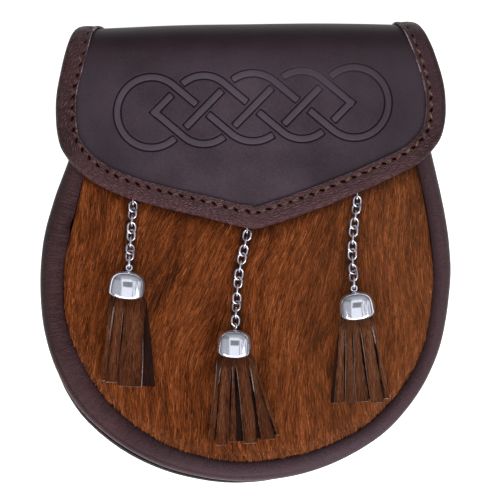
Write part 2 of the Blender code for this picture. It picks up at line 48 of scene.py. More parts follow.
# ---- the pouch's own sizes, as its solids have them ------------------------
BODY_EDGE = [
    # x,     y,      roll width, gusset bulge past the roll
    (-68.0, 86.5, 8.5, -1.0),
    (-70.8, 66.0, 8.5, -1.0),
    (-77.6, 42.0, 8.5, -1.0),
    (-84.3, 22.9, 10.6, -0.6),
    (-88.7, 5.3, 10.8, -0.4),
    (-90.0, -14.5, 10.1, -0.4),
    (-88.2, -34.3, 10.2, -0.2),
    (-82.2, -53.0, 11.4, 0.8),
    (-70.6, -71.0, 11.4, 2.0),
    (-51.7, -86.3, 10.4, 2.4),
    (-28.8, -96.2, 9.0, 2.2),
    (-1.5, -100.4, 8.6, 1.4),
    (28.8, -96.0, 8.4, 0.0),
    (55.6, -83.2, 7.7, -0.8),
    (73.7, -65.1, 7.5, -1.0),
    (84.7, -43.1, 6.8, -1.0),
    (89.5, -16.7, 7.2, -1.0),
    (89.3, 4.0, 7.8, -1.0),
    (85.8, 26.0, 7.5, -1.0),
    (80.2, 52.0, 7.6, -1.0),
    (74.0, 86.5, 7.6, -1.0),
]
MOUTH_Y = 86.5
SEAM_LOW = 27.5                 # height of the front seam round the bottom
SEAM_TOP = 15.0                 # and at the mouth
SEAM_RISE_Y = (0.0, 90.0)       # between these it changes
BACK_THICK = 2.4
BACK_INSET = 0.4
BACK_PUSH = 6.9                 # how far the strap loops push the back's middle in
PUSH_RINGS = (0.70, 0.90)       # shares of the way out over which the push fades
GUSSET_THICK = 1.8
GUSSET_INSET = 1.0
GUSSET_SWELL = [(0.0, 0.0), (0.3, 0.50), (0.6, 0.90), (0.82, 1.0), (1.0, 0.60)]  # share of height, of bulge
ROLL_HEIGHT = 7.5
ROLL_SECTION = [
    # share of width inwards, share of height
    (0.16, 0.0),
    (0.03, 0.16),
    (0.0, 0.42),
    (0.07, 0.74),
    (0.25, 0.95),
    (0.48, 1.0),
    (0.72, 0.90),
    (0.92, 0.68),
    (1.0, 0.40),
    (0.92, 0.0),
]
HIDE_THICK = 3.0                # skin and lying hair together
HIDE_EDGE = 3.5                 # its height over the seam at its edge
HIDE_CROWN = 4.0                # and more in the middle of this oval: middle and half sizes
HIDE_OVAL = (0.0, -8.0, 86.0, 98.0)
HIDE_TOP_Y = 85.5
FLAP_THICK = 2.0
FLAP_LIFT = 11.4                # height of the flap's middle over the seam
FLAP_CROWN = 2.2
FLAP_CROWN_HALF = 68.0
FOLD_Y = 88.0
FOLD_SLANT = 0.0139
FOLD_LENGTH = 38.6              # along the leather
TAIL_Z = 3.7
TAIL_LENGTH = 9.0
TAIL_X = (-62.0, 68.0)
SEAM_END = FOLD_Y + FOLD_LENGTH - 1.6  # where the band ends
FLAP_ENDS_Y = FOLD_Y + FOLD_LENGTH + 2.4
FLAP_SIDE_LEFT = [
    (-64.1, FLAP_ENDS_Y),
    (-74.0, FOLD_Y + 0.5 * FOLD_LENGTH),
    (-79.6, FOLD_Y),
    (-83.0, 71.5),
    (-83.5, 60.8),
    (-82.4, 50.5),
    (-79.5, 43.2),
]
FLAP_HEM = [
    (-79.5, 43.2),
    (-71.6, 34.2),
    (-57.2, 26.1),
    (-40.1, 20.6),
    (-19.5, 15.6),
    (-4.0, 11.7),
    (4.4, 10.4),
    (14.0, 12.9),
    (30.0, 18.4),
    (48.4, 25.8),
    (63.8, 32.7),
    (75.8, 38.9),
    (84.2, 47.6),
]
FLAP_SIDE_RIGHT = [
    (84.2, 47.6),
    (87.3, 55.2),
    (88.2, 64.3),
    (87.2, 75.1),
    (83.4, FOLD_Y),
    (76.2, FOLD_Y + 0.5 * FOLD_LENGTH),
    (69.7, FLAP_ENDS_Y),
]
BIND_WIDTH = 9.0
BIND_THICK = 1.0
BIND_EDGE = 1.6                 # how far the flap's own edge lies inside the band's
LOOP_X = {"left": -36.0, "right": 36.0}
LOOP_WIDTH = 26.0
LOOP_THICK = 2.0
LOOP_PATH = [
    # y, height of the leather's middle
    (-16.0, 5.6),
    (-9.0, 5.6),
    (-6.5, 4.9),
    (-3.5, 2.2),
    (-1.0, 1.3),
    (29.0, 1.3),
    (31.5, 2.2),
    (34.5, 4.9),
    (37.0, 5.6),
    (44.0, 5.6),
]
LINK_WIDTH = 4.5
LINK_LENGTH = 5.5
WIRE = 0.72
LINK_WIRE = 0.86                # as it shows in bright light
LINK_TWIST = 60.0               # degrees from one link to the next
CHAIN_LOW = 1.8                 # height over the hide at the first link
CHAIN_HIGH = 2.75               # and once it has settled
CHAIN_SETTLE = 6.5              # over this length
CHAIN_CLIMB = 13.0              # length over which it climbs to its cap
STAPLE_FEET = (0.75, 4.4)       # how far above the first link's middle they go in
STAPLE_RISE = 3.15
STAPLE_BEND = 0.9
EYE_REACH = 2.4                 # from the last link's middle to the eye's
CHAINS = {
    # links, first turn in degrees, then the first link, the middle and the eye, each as x, y
    "left": (9, 150.0, (-49.2, 20.1), (-50.0, 6.9), (-50.6, -6.6)),
    "middle": (12, 30.0, (0.7, 7.6), (-2.9, -10.0), (-4.5, -32.0)),
    "right": (12, 150.0, (48.9, 22.4), (46.7, 3.4), (47.3, -15.6)),
}
CAP_RADIUS = 7.4
CAP_LENGTH = 12.0
CAP_REST = (3.0, 9.0, 14.0)     # places below the eye that may touch the hide
CAP_PROFILE = [
    # radius, distance below the top: down the outside, then up the inside
    (0.0, 0.0),
    (2.7, 0.35),
    (4.9, 1.4),
    (6.4, 3.1),
    (7.1, 5.4),
    (7.35, 8.6),
    (7.4, 11.2),
    (7.1, 12.0),
    (6.6, 12.0),
    (6.4, 10.8),
    (6.2, 5.8),
    (5.2, 3.6),
    (3.0, 1.9),
    (0.0, 1.4),
]
EYE_RADIUS = 1.85
EYE_WIRE = 0.42
EYE_RISE = 1.45                 # of its middle over the cap's top
CAP_LEAN = {"left": -3.0, "middle": 1.5, "right": 4.0}  # degrees off straight down

# ---- sizes of the finer things ---------------------------------------------
FLAP_GRID = (351, 141, 27, 3)   # spans across, then up the front, over the fold and down the tail
COARSE = 3                      # the flap's hidden underside has one point for each so many above
FLAP_WAVE = 0.18                # how far its face swells and sinks
KNOT_CENTRE = (3.2, 63.6)       # middle of the pressed interlace on the flap
KNOT_STEP = 21.95               # from one of its crossings on the middle line to the next
KNOT_TILT = 2.9                 # degrees
KNOT_WIDTH = 3.3                # width of a strand
KNOT_BREAK = 1.55               # bare leather between a passing strand and the cut end below it
KNOT_RAISE = 0.25               # of the strands over the flap
KNOT_PRESS = 0.1                # depth of the line along their edges
KNOT_LINE = 0.4                 # half the width of the pressed line along a strand's edges
KNOT_SLOPE = 0.94               # of the straight runs, which cross on the middle line
KNOT_END = (2.025, 0.689, 0.713)        # an end loop's middle and half width and height, in steps
KNOT_TIP = 1.962                # the sharp turns' distance from the middle, in steps
KNOT_ARC_TOP = 0.69             # height of the round turns, in steps
KNOT_WEAR = (29.0, 80.5, 28.0, 11.0)    # where the lines are worn faint: middle and half sizes
KNOT_WORN = 0.72                # share of them lost there
KNOT_FINE = 0.012               # spacing of the places at which a strand is worked out, in steps
FAR = 9.0                       # a distance that counts as away from every strand, hole or edge

BAND_GRID = (780, 64)           # places along its edge up to the fold, and over each side of the fold
BAND_FACE = [9.05, *(8.85 - 0.25 * np.arange(13)), 5.5, 5.0, 4.4, 3.8, 3.2, 2.7]  # its points' distances in
BAND_NOSE = 2.3                 # radius of its rounded outer edge in the plan
BAND_LIP = (8.6, 9.0)           # between these distances in, its raw cut edge begins to show
BAND_FURROW = (0.22, 0.16, 0.9)         # depth along the stitches, more at each hole, and half width
BAND_PUFF = (0.14, 4.2, 1.5)    # height, distance in and half width of the swelling beside the stitches
BAND_CREASE = 0.1
BAND_WIDER = (0.9, 88.0, 10.0)  # where its left side is wider: by how much, y, and half length
HEM_Y = (30.0, 46.0)            # the band is the hem's below the first and a side's above the second

STITCH_IN = 6.75                # stitch line's distance from the binding's outer edge
STITCH_IN_LEFT = 7.6            # and up the left side
STITCH_PITCH = 4.95
TIP_ROUND = 5.0                 # half width over which the band's inner edge is rounded at the hem's tip
HOLE_HALF = (1.45, 0.66)        # half length and half width of an awl hole
HOLE_DEPTH = 0.52
HOLE_SLANT = 26.0               # degrees by which its inner end comes first
THREAD = 0.34                   # thickness of one of a stitch's two strands
THREAD_SPAN = 3.5
THREAD_SLANT = 22.0             # degrees off the stitch line
THREAD_GRID = (9, 7)            # places along a strand and round it
THREAD_DIVE = 0.85              # how deep its ends go into the leather

ROLL_GRID = (1000, 40)          # places along the roll, and round its section
ROLL_SWELL = 0.22
ROLL_PUCKER = 0.13
ROLL_TUCK = (15.0, 3.2, 0.9)    # a deep tuck high on the left: y, half length and depth
ROLL_DRAWN = (14.0, 14.0)       # the stretch of stronger puckers round it: y and half length
ROLL_CREASE = (2.1, 0.6, 0.45)  # along the lower left: distance in, half width and depth
GUSSET_GRID = (400, 14)         # places along the wall, and up it
SKIN_DEEP = 1.0                 # the skin's depth below the lying hairs' height

HAIR_COUNT = 26000              # in each of the hide's three parts
HAIR_DRAWN = 4000               # places drawn at a time, until there are enough on the hide
HAIR_PARTS = {
    # from x, to x, seed
    "left": (-84.0, -28.0, 201),
    "middle": (-28.0, 28.0, 202),
    "right": (28.0, 86.0, 203),
}
HAIR_Y = (-94.0, 58.0)
HAIR_UNDER = 14.0               # how far up under the hem it is laid
HAIR_LENGTH = (8.5, 16.0)
HAIR_WIDTH = (0.16, 0.31)
HAIR_LIFT = 0.6                 # most a hair's middle stands up
HAIR_STRAY = 3.5                # degrees off the lay
HAIR_BEND = 7.0                 # degrees from root to tip
LAY_WAVER = (0.25, 17.0)        # the lay wavers by this many radians over this length
COMB = (110, 2.0)               # most steps back along the lay to the mouth, and their length
CHAIN_SHADE = 2.7               # how far painted shadow darkens the coat beside a chain
HEM_SHADE = 1.5                 # and below the hem
HAIR_LIE = [
    # x, y, lean off straight down in degrees (negative: tips to the left), reach
    (-75.0, 20.0, -14.0, 22.0),
    (-80.0, -30.0, -4.0, 24.0),
    (-60.0, -5.0, -14.0, 16.0),
    (-58.0, -50.0, -3.0, 24.0),
    (-30.0, 10.0, -34.0, 16.0),
    (-28.0, -14.0, -40.0, 15.0),
    (-34.0, -36.0, -16.0, 15.0),
    (-5.0, 0.0, -26.0, 16.0),
    (18.0, 8.0, -22.0, 16.0),
    (20.0, -22.0, -12.0, 20.0),
    (-20.0, -80.0, 2.0, 26.0),
    (30.0, -60.0, 0.0, 24.0),
    (50.0, 10.0, -8.0, 18.0),
    (76.0, 10.0, 4.0, 18.0),
    (78.0, -30.0, 10.0, 20.0),
    (50.0, -78.0, 6.0, 20.0),
]

TASSEL_STRIPS = {
    # Seen from the front, with x from the tassel's middle: left and right at the cap, left and right at
    # the end, length below the cap, height of its end over the hide, and which face shows.
    "left": [
        (-7.6, -5.2, -9.9, -8.0, 36.4, 1.5, "hair"),
        (-5.1, -1.1, -7.8, -2.9, 36.9, 2.0, "hair"),
        (-1.0, 8.1, -2.7, 7.8, 38.3, 2.5, "hair"),
        (3.4, 8.0, 7.0, 13.8, 37.8, 0.8, "flesh"),
        (-5.6, 1.4, -6.6, 0.6, 35.4, 0.5, "flesh"),
        (-0.6, 5.4, -0.2, 7.4, 36.4, 0.5, "flesh"),
    ],
    "middle": [
        (-7.7, -6.2, -13.2, -10.0, 36.4, 1.4, "hair"),
        (-6.1, -1.4, -9.7, -4.4, 38.4, 2.1, "hair"),
        (-1.3, -0.5, -4.0, -0.8, 37.2, 2.0, "hair"),
        (-0.4, 5.3, 2.5, 8.2, 37.9, 2.4, "hair"),
        (5.4, 7.2, 10.0, 16.2, 36.4, 2.0, "hair"),
        (5.4, 7.2, 16.6, 18.0, 34.6, 1.4, "hair"),
        (-4.0, 2.2, -2.8, 3.2, 37.0, 0.6, "flesh"),
        (0.7, 4.7, 6.9, 11.3, 36.0, 0.6, "flesh"),
        (2.7, 6.2, 13.3, 16.9, 34.6, 0.6, "flesh"),
    ],
    "right": [
        (-6.8, -4.6, -13.8, -10.9, 35.8, 1.0, "flesh"),
        (-7.5, -5.1, -11.7, -7.7, 36.0, 1.8, "hair"),
        (-5.0, -1.9, -6.9, -2.8, 36.8, 2.1, "hair"),
        (-1.8, 0.8, -2.5, 3.1, 36.2, 2.3, "hair"),
        (0.9, 6.0, 3.7, 9.3, 37.0, 2.6, "hair"),
        (6.1, 7.7, 9.8, 12.3, 35.6, 2.0, "hair"),
        (-4.0, 1.4, -6.0, 0.2, 35.0, 0.5, "flesh"),
        (1.4, 6.6, 1.8, 11.4, 35.4, 0.5, "flesh"),
    ],
}
STRIP_THICK = 1.15
STRIP_GRID = (34, 9)            # places down a strip and across it
STRIP_HIDDEN = 0.09             # share of its length that goes on up under the cap
STRIP_LAP = 0.3                 # how far strips lap over each other at the cap
SLIT = 0.42                     # half the gap between neighbouring strips where they part
CUT_SHOWN = (0.06, 0.5)         # how much of a strip's slanting cut shows on its dark and its pale side
PALE_SIDE = {"left": 1, "middle": -1, "right": -1}  # 1 is the right side
TASSEL_NECK = (7.9, 3.4)        # half width and height of the bundle where it leaves the cap
TASSEL_HAIRS = 3.2              # for each square millimetre
TASSEL_HAIR_LENGTH = (4.0, 8.0)
TASSEL_HAIR_WIDTH = (0.14, 0.3)

WIRE_GRID = (28, 12)            # places along a link's wire and round it
EYE_SIDES = 10                  # places round the eye's wire
CAP_GRID = (50, 64)             # places along the cap's outline and round it
# The bell's section is flattened: its half width and the height of its front as shares of its radius.
CAP_WIDE = {"left": 1.06, "middle": 0.99, "right": 1.03}
CAP_FRONT = 0.62
CAP_BELLY = 0.8                 # how far its front swells along its length
CAP_ASKEW = {"left": -3.5, "middle": -3.5, "right": 3.5}  # degrees by which it hangs off its tassel's line
CAP_SQUARE = 2.7                # 2 is an ellipse, more is squarer
CAP_LIP = 0.13                  # share of its length by which the mouth's sides fall short

MOUTH_POINTS = 40               # along the straight line of the mouth
BACK_SEAM = 0.955               # share of the way out at which the back is stitched
BACK_GROOVE = 0.75              # depth of the groove for its stitches
LOOP_POINTS = 61                # along a strap loop
LOOP_ROUND = [
    # the loop's section as shares of its half width and half thickness
    (-1.0, 0.45), (-0.985, 0.78), (-0.93, 1.0), (-0.6, 1.0), (-0.2, 1.0),
    (0.2, 1.0), (0.6, 1.0), (0.93, 1.0), (0.985, 0.78), (1.0, 0.45),
]
LOOP_STITCH_IN = (2.4, 1.8, 0.6)        # the stitched boxes' distances in from a loop's sides, end and bend


# ---- shapes shared with the solids -----------------------------------------
def unit(rows):
    return rows / np.linalg.norm(rows, axis=-1, keepdims=True)


def smooth_rows(rows, count):
    """A smooth curve through the rows, read at evenly spaced places along its first two columns."""
    rows = np.array(rows, float)
    padded = np.vstack([2 * rows[0] - rows[1], rows, 2 * rows[-1] - rows[-2]])
    share = np.linspace(0.0, 1.0, 16, endpoint=False)[:, None]
    pieces = []
    for before, start, end, after in zip(padded[:-3], padded[1:-2], padded[2:-1], padded[3:]):
        cubic = -before + 3 * start - 3 * end + after
        square = 2 * before - 5 * start + 4 * end - after
        pieces.append(0.5 * (2 * start + (end - before) * share + square * share**2 + cubic * share**3))
    return even_places(np.vstack(pieces + [rows[-1:]]), count)


def lengths_along(path, columns=2):
    steps = np.linalg.norm(np.diff(path[:, :columns], axis=0), axis=1)
    return np.concatenate([[0.0], np.cumsum(steps)])


def read_path(path, along, wanted):
    """The path's rows at the wanted lengths; along has its own rows' lengths."""
    return np.column_stack([np.interp(wanted, along, column) for column in path.T])


def even_places(path, count, columns=2):
    """The path read at evenly spaced places along it."""
    along = lengths_along(path, columns)
    return read_path(path, along, np.linspace(0.0, along[-1], count))


def side_normals(path):
    """Unit normals to the right of a path in the XY plane."""
    tangent = np.gradient(path[:, :2], axis=0)
    return unit(np.column_stack([tangent[:, 1], -tangent[:, 0]]))


def smooth_step(value):
    value = np.clip(value, 0.0, 1.0)
    return value * value * (3.0 - 2.0 * value)


def seam_height(y):
    low, high = SEAM_RISE_Y
    return SEAM_TOP + (SEAM_LOW - SEAM_TOP) * (1.0 - smooth_step((y - low) / (high - low)))


def hide_top(x, y):
    x_mid, y_mid, x_half, y_half = HIDE_OVAL
    inside = np.clip(1.0 - ((x - x_mid) / x_half) ** 2 - ((y - y_mid) / y_half) ** 2, 0.0, 1.0)
    return seam_height(y) + HIDE_EDGE + HIDE_CROWN * inside**0.7


def flap_front(x, y):
    return seam_height(y) + FLAP_LIFT + FLAP_CROWN * (1.0 - (x / FLAP_CROWN_HALF) ** 2)


def roll_up(x, y):
    """Carry points of the flat flap pattern onto the folded flap's middle surface."""
    fold = FOLD_Y + FOLD_SLANT * x
    top = flap_front(x, fold)
    radius = 0.5 * (top - TAIL_Z)
    past = y - fold
    turn = math.pi * np.clip(past / FOLD_LENGTH, 0.0, 1.0)
    y_fold = fold + radius * np.sin(turn) - np.clip(past - FOLD_LENGTH, 0.0, None)
    z_fold = TAIL_Z + radius * (1.0 + np.cos(turn))
    on_front = past <= 0.0
    y_out = np.where(on_front, y, y_fold)
    z_out = np.where(on_front, flap_front(x, y), z_fold)
    return np.stack([x, y_out, z_out], axis=-1)


def flap_normal(x, y):
    step = 0.05
    along_x = roll_up(x + step, y) - roll_up(x - step, y)
    along_y = roll_up(x, y + step) - roll_up(x, y - step)
    return unit(np.cross(along_x, along_y))


def flap_outline(inset=0.0):
    fine = smooth_rows(FLAP_SIDE_LEFT + FLAP_HEM[1:] + FLAP_SIDE_RIGHT[1:], 500)
    return fine - side_normals(fine) * inset


def split_outline(outline, rows):
    """Part the outline into the front's edge and the x places of both sides along the fold's rows."""
    middle = np.argmin(outline[:, 1])
    left, right = outline[:middle][::-1], outline[middle:]
    left_x = np.interp(rows, left[:, 1], left[:, 0])
    right_x = np.interp(rows, right[:, 1], right[:, 0])
    front = outline[outline[:, 1] < FOLD_Y]
    front = np.vstack([(left_x[0], FOLD_Y), front, (right_x[0], FOLD_Y)])
    return front, left_x, right_x


def coons_patch(low, high, left, right):
    """Fill four boundary curves that share their corners; low and high run left to right."""
    across = np.linspace(0.0, 1.0, len(low))[None, :, None]
    up = np.linspace(0.0, 1.0, len(left))[:, None, None]
    ruled = (1 - up) * low[None] + up * high[None] + (1 - across) * left[:, None] + across * right[:, None]
    corners = (1 - up) * ((1 - across) * low[0] + across * low[-1])
    corners = corners + up * ((1 - across) * high[0] + across * high[-1])
    return ruled - corners


def closed_outline(path, inset, top_y, top_points=MOUTH_POINTS):
    """The body outline moved in by inset, closed by the straight line of the mouth at top_y."""
    edge = path[:, :2] - side_normals(path) * inset
    edge = edge[edge[:, 1] < top_y]
    top = np.linspace((edge[-1][0], top_y), (edge[0][0], top_y), top_points)
    return np.vstack([edge, top])


# ---- unevenness ------------------------------------------------------------
NOISE_CELLS = 64                # each way, before the values come again


def value_noise(u, v, cell_u, cell_v, seed):
    """Smooth random values between -1 and 1 on a grid of cells cell_u by cell_v."""
    table = np.random.default_rng(seed).uniform(-1.0, 1.0, (NOISE_CELLS, NOISE_CELLS))
    u, v = np.asarray(u, float) / cell_u, np.asarray(v, float) / cell_v
    i, j = np.floor(u).astype(int), np.floor(v).astype(int)
    s, t = smooth_step(u - i), smooth_step(v - j)
    i, j, i1, j1 = (cell % NOISE_CELLS for cell in (i, j, i + 1, j + 1))
    low = table[i, j] * (1 - s) + table[i1, j] * s
    high = table[i, j1] * (1 - s) + table[i1, j1] * s
    return low * (1 - t) + high * t


def layered_noise(u, v, cell_u, cell_v, seed, layers=3):
    total, weight = 0.0, 0.0
    for layer in range(layers):
        share = 0.5**layer
        total = total + share * value_noise(u, v, cell_u * share, cell_v * share, seed + layer)
        weight += share
    return total / weight


# ---- finishes --------------------------------------------------------------
class Value:
    """A socket of a finish; arithmetic on values becomes Math nodes."""

    def __init__(self, finish, socket):
        self.finish = finish
        self.socket = socket

    def math(self, operation, *values, clamp=False):
        settings = {"operation": operation, "use_clamp": clamp}
        return self.finish.node("ShaderNodeMath", settings, dict(enumerate(values)))

    def __add__(self, other):
        return self.math("ADD", self, other)

    def __sub__(self, other):
        return self.math("SUBTRACT", self, other)

    def __rsub__(self, other):
        return self.math("SUBTRACT", other, self)

    def __mul__(self, other):
        return self.math("MULTIPLY", self, other)

    def __neg__(self):
        return self * -1.0

    __radd__ = __add__
    __rmul__ = __mul__

    def size(self):
        return self.math("ABSOLUTE", self)

    def clip(self):
        return self.math("ADD", self, 0.0, clamp=True)

    def step(self, low, high):
        """0 below low, 1 above high, smooth between; low above high turns it round."""
        settings = {"interpolation_type": "SMOOTHSTEP"}
        values = {"Value": self, "From Min": low, "From Max": high}
        return self.finish.node("ShaderNodeMapRange", settings, values)


class Nodes:
    """A node tree that is built by calls, each giving back the value of one output."""

    def __init__(self, tree):
        self.tree = tree

    def node(self, kind, settings=None, values=None, output=0):
        made = self.tree.nodes.new(kind)
        for key, value in (settings or {}).items():
            if key == "stops":
                ramp = made.color_ramp.elements
                for place, colour in value[2:]:
                    ramp.new(place)
                for element, (place, colour) in zip(ramp, sorted(value)):
                    element.position = place
                    element.color = (*colour, 1.0)
            else:
                setattr(made, key, value)
        for key, value in (values or {}).items():
            self.feed(made.inputs[key], value)
        return Value(self, made.outputs[output])

    def feed(self, socket, value):
        if isinstance(value, Value):
            self.tree.links.new(value.socket, socket)
        elif isinstance(value, tuple) and socket.type == "RGBA":
            socket.default_value = (*value, 1.0)
        else:
            socket.default_value = value

    def place(self):
        """Where a point is, in millimetres."""
        here = self.node("ShaderNodeTexCoord", output="Object")
        return self.node("ShaderNodeVectorMath", {"operation": "SCALE"}, {0: here, "Scale": 1.0 / MM})

    def uv(self):
        return self.node("ShaderNodeUVMap", {"uv_map": "lay"})

    def stretch(self, where, x, y, z=1.0):
        """A pattern's places times x, y and z, so that it has this many marks in each millimetre."""
        return self.node("ShaderNodeVectorMath", {"operation": "MULTIPLY"}, {0: where, 1: (x, y, z)})

    def moved(self, where, shift):
        return self.node("ShaderNodeVectorMath", {"operation": "ADD"}, {0: where, 1: shift})

    def turned(self, where, degrees):
        values = {"Vector": where, "Angle": math.radians(degrees)}
        return self.node("ShaderNodeVectorRotate", {"rotation_type": "Z_AXIS"}, values)

    def part(self, where, axis):
        return self.node("ShaderNodeSeparateXYZ", {}, {0: where}, axis)

    def attribute(self, name):
        return self.node("ShaderNodeAttribute", {"attribute_name": name}, output="Fac")

    def noise(self, where, scale, detail=3.0, roughness=0.55, distortion=0.0):
        values = {"Vector": where, "Scale": scale, "Detail": detail, "Roughness": roughness}
        return self.node("ShaderNodeTexNoise", {}, {**values, "Distortion": distortion})

    def cracks(self, where, scale):
        """The distance from the cracks between random cells."""
        values = {"Vector": where, "Scale": scale, "Randomness": 1.0}
        return self.node("ShaderNodeTexVoronoi", {"feature": "DISTANCE_TO_EDGE"}, values, "Distance")

    def ramp(self, value, stops):
        return self.node("ShaderNodeValToRGB", {"stops": stops}, {"Fac": value}, "Color")

    def mix(self, share, first, second):
        return self.node("ShaderNodeMix", {"data_type": "RGBA"}, {0: share, 6: first, 7: second}, 2)

    def bump(self, height, distance):
        """height is in shares of distance, which is in millimetres."""
        return self.node("ShaderNodeBump", {}, {"Height": height, "Distance": distance * MM}, "Normal")


class Finish(Nodes):
    """One material: a Principled shader with set constants, and the nodes that feed it."""

    def __init__(self, name, constants=None):
        self.material = bpy.data.materials.new(name)
        self.material.use_nodes = True
        super().__init__(self.material.node_tree)
        self.shader = self.tree.nodes["Principled BSDF"]
        for socket, value in (constants or {}).items():
            self.shader.inputs[socket].default_value = value

    def set(self, socket, value):
        self.feed(self.shader.inputs[socket], value)

    def close(self, colour, rough, height=None, depth=0.0):
        """Join colour, shine and relief to the shader; depth is in millimetres."""
        self.set("Base Color", colour)
        self.set("Roughness", rough.clip())
        if height is not None:
            self.set("Normal", self.bump(height, depth))
        return self.material


def rgb(red, green, blue):
    """A colour as the eye's 0 to 255 values, turned linear."""
    shares = (np.array([red, green, blue]) / 255.0).tolist()
    return tuple(s / 12.92 if s <= 0.04045 else ((s + 0.055) / 1.055) ** 2.4 for s in shares)


def times(colour, factor):
    return tuple(factor * c for c in colour)


class Leather(Finish):
    """Dyed leather: broad unevenness of dye and shine, fine grain, and wrinkles where it is asked for."""

    def __init__(self, name, colour, gloss=0.5, specular=0.3):
        super().__init__(name, {"Specular IOR Level": specular})
        self.where = self.place()
        self.dye = self.noise(self.where, 0.045, 4.0)
        self.speck = self.noise(self.where, 1.5, 4.0, 0.65)
        share = (self.dye * 0.5 + self.speck * 0.5).step(0.3, 0.7)
        self.colour = self.mix(share, times(colour, 0.62), times(colour, 1.45))
        self.rough = self.dye * 0.14 + self.speck * 0.12 + (gloss - 0.13)
        self.height = self.speck * 0.4
        # lit and shaded copies of the colour, for the painted highlights and painted shade of the relief
        self.light, self.dark = times(colour, 2.1), times(colour, 0.4)

    def tint(self, share, colour):
        self.colour = self.mix(share, self.colour, colour)

    def pebble(self, cells_per_mm, depth, shade):
        """Rounded grain between fine cracks, with painted shade in the cracks."""
        wavy = self.moved(self.where, self.noise(self.where, 0.5, 2.0))
        grain = self.cracks(wavy, cells_per_mm).step(0.0, 0.22)
        self.height = self.height + grain * depth
        self.tint((1.0 - grain) * shade, self.dark)

    def wrinkles(self, lay, depth, shade, weight=1.0):
        """Fine folds, one to each unit of lay, with painted shade in their hollows and painted highlights on
        their backs.
        """
        fold = self.noise(lay, 1.0, 2.0, 0.55, 0.7)
        self.height = self.height + fold.step(0.36, 0.64) * depth * weight
        self.tint((1.0 - fold.step(0.36, 0.5)) * shade * weight, self.dark)
        self.tint(fold.step(0.5, 0.66) * (0.6 * shade) * weight, self.light)

    def creases(self, lay, depth, shade, weight=1.0):
        """A net of fine creases, its meshes one unit of lay wide and high, with painted shade in the creases
        and painted highlights on the meshes between.
        """
        bent = self.moved(lay, self.noise(lay, 0.6, 2.0) * 0.8)
        mesh = self.cracks(bent, 1.0)
        self.height = self.height + mesh.step(0.0, 0.4) * depth * weight
        self.tint((1.0 - mesh.step(0.0, 0.24)) * shade * weight, self.dark)
        self.tint((mesh.step(0.14, 0.44) * shade * weight).clip(), self.light)

    def finished(self, depth):
        """The material, with a relief of this depth in millimetres."""
        return self.close(self.colour, self.rough, self.height, depth)


def flap_leather():
    """Smooth leather with the interlace pressed into it: strand edges are thin dark lines. Painted shade
    darkens it towards the fold and towards both sides.
    """
    colour = rgb(64, 52, 60)
    leather = Leather("flap_leather", colour, gloss=0.5, specular=0.14)
    # painted shade towards the top, where the flap turns over the fold
    high_up = leather.part(leather.where, "Y").step(50.0, 94.0)
    high_up = high_up * high_up
    leather.tint(high_up * high_up * 0.7, rgb(24, 6, 14))
    across = leather.part(leather.where, "X")
    # painted shade towards both sides, more on the right
    beside = across.step(10.0, 80.0) * 0.5 + (-across).step(20.0, 80.0) * 0.3
    leather.tint(beside, times(colour, 0.5))
    edge = leather.attribute("strand")
    worn = leather.attribute("worn")
    line = (1.0 - edge.size().step(0.3 * KNOT_LINE, 1.2 * KNOT_LINE)) * worn
    inside = (1.0 - edge.step(-0.5, 0.0)) * (worn * 0.7 + 0.3)
    inside = inside * (1.0 - across.step(25.0, 75.0) * 0.6)
    leather.tint(inside * 0.36, rgb(94, 84, 95))
    leather.tint(line * 0.94, rgb(14, 6, 10))
    leather.height = leather.height - line * 1.6
    leather.rough = leather.rough + line * 0.3
    return leather.finished(0.16)


def trim_leather():
    """Thinner leather for the roll, redder on the left, finely puckered across where it turns; painted sheen
    lightens its right and bottom, and painted shade darkens its outward face.
    """
    leather = Leather("trim_leather", rgb(67, 44, 47), gloss=0.5, specular=0.13)
    # painted sheen: bluish-grey towards the right and paler along the bottom
    right = leather.part(leather.where, "X").step(-70.0, 30.0)
    leather.tint(right * 0.7, rgb(75, 56, 61))
    low = (-leather.part(leather.where, "Y")).step(50.0, 95.0)
    leather.tint(low * (right * 0.6 + 0.1), rgb(88, 70, 78))
    # painted shade on the roll's outward face, less on the right
    outer = leather.attribute("outer") * (1.0 - right * 0.4)
    leather.tint(outer * 0.9, rgb(16, 5, 7))
    lay = leather.stretch(leather.uv(), 0.85, 0.13)
    leather.wrinkles(lay, 0.8, 0.32, leather.attribute("pucker") * (1.0 - right * 0.7))
    leather.pebble(1.1, 0.5, 0.28)
    return leather.finished(0.3)


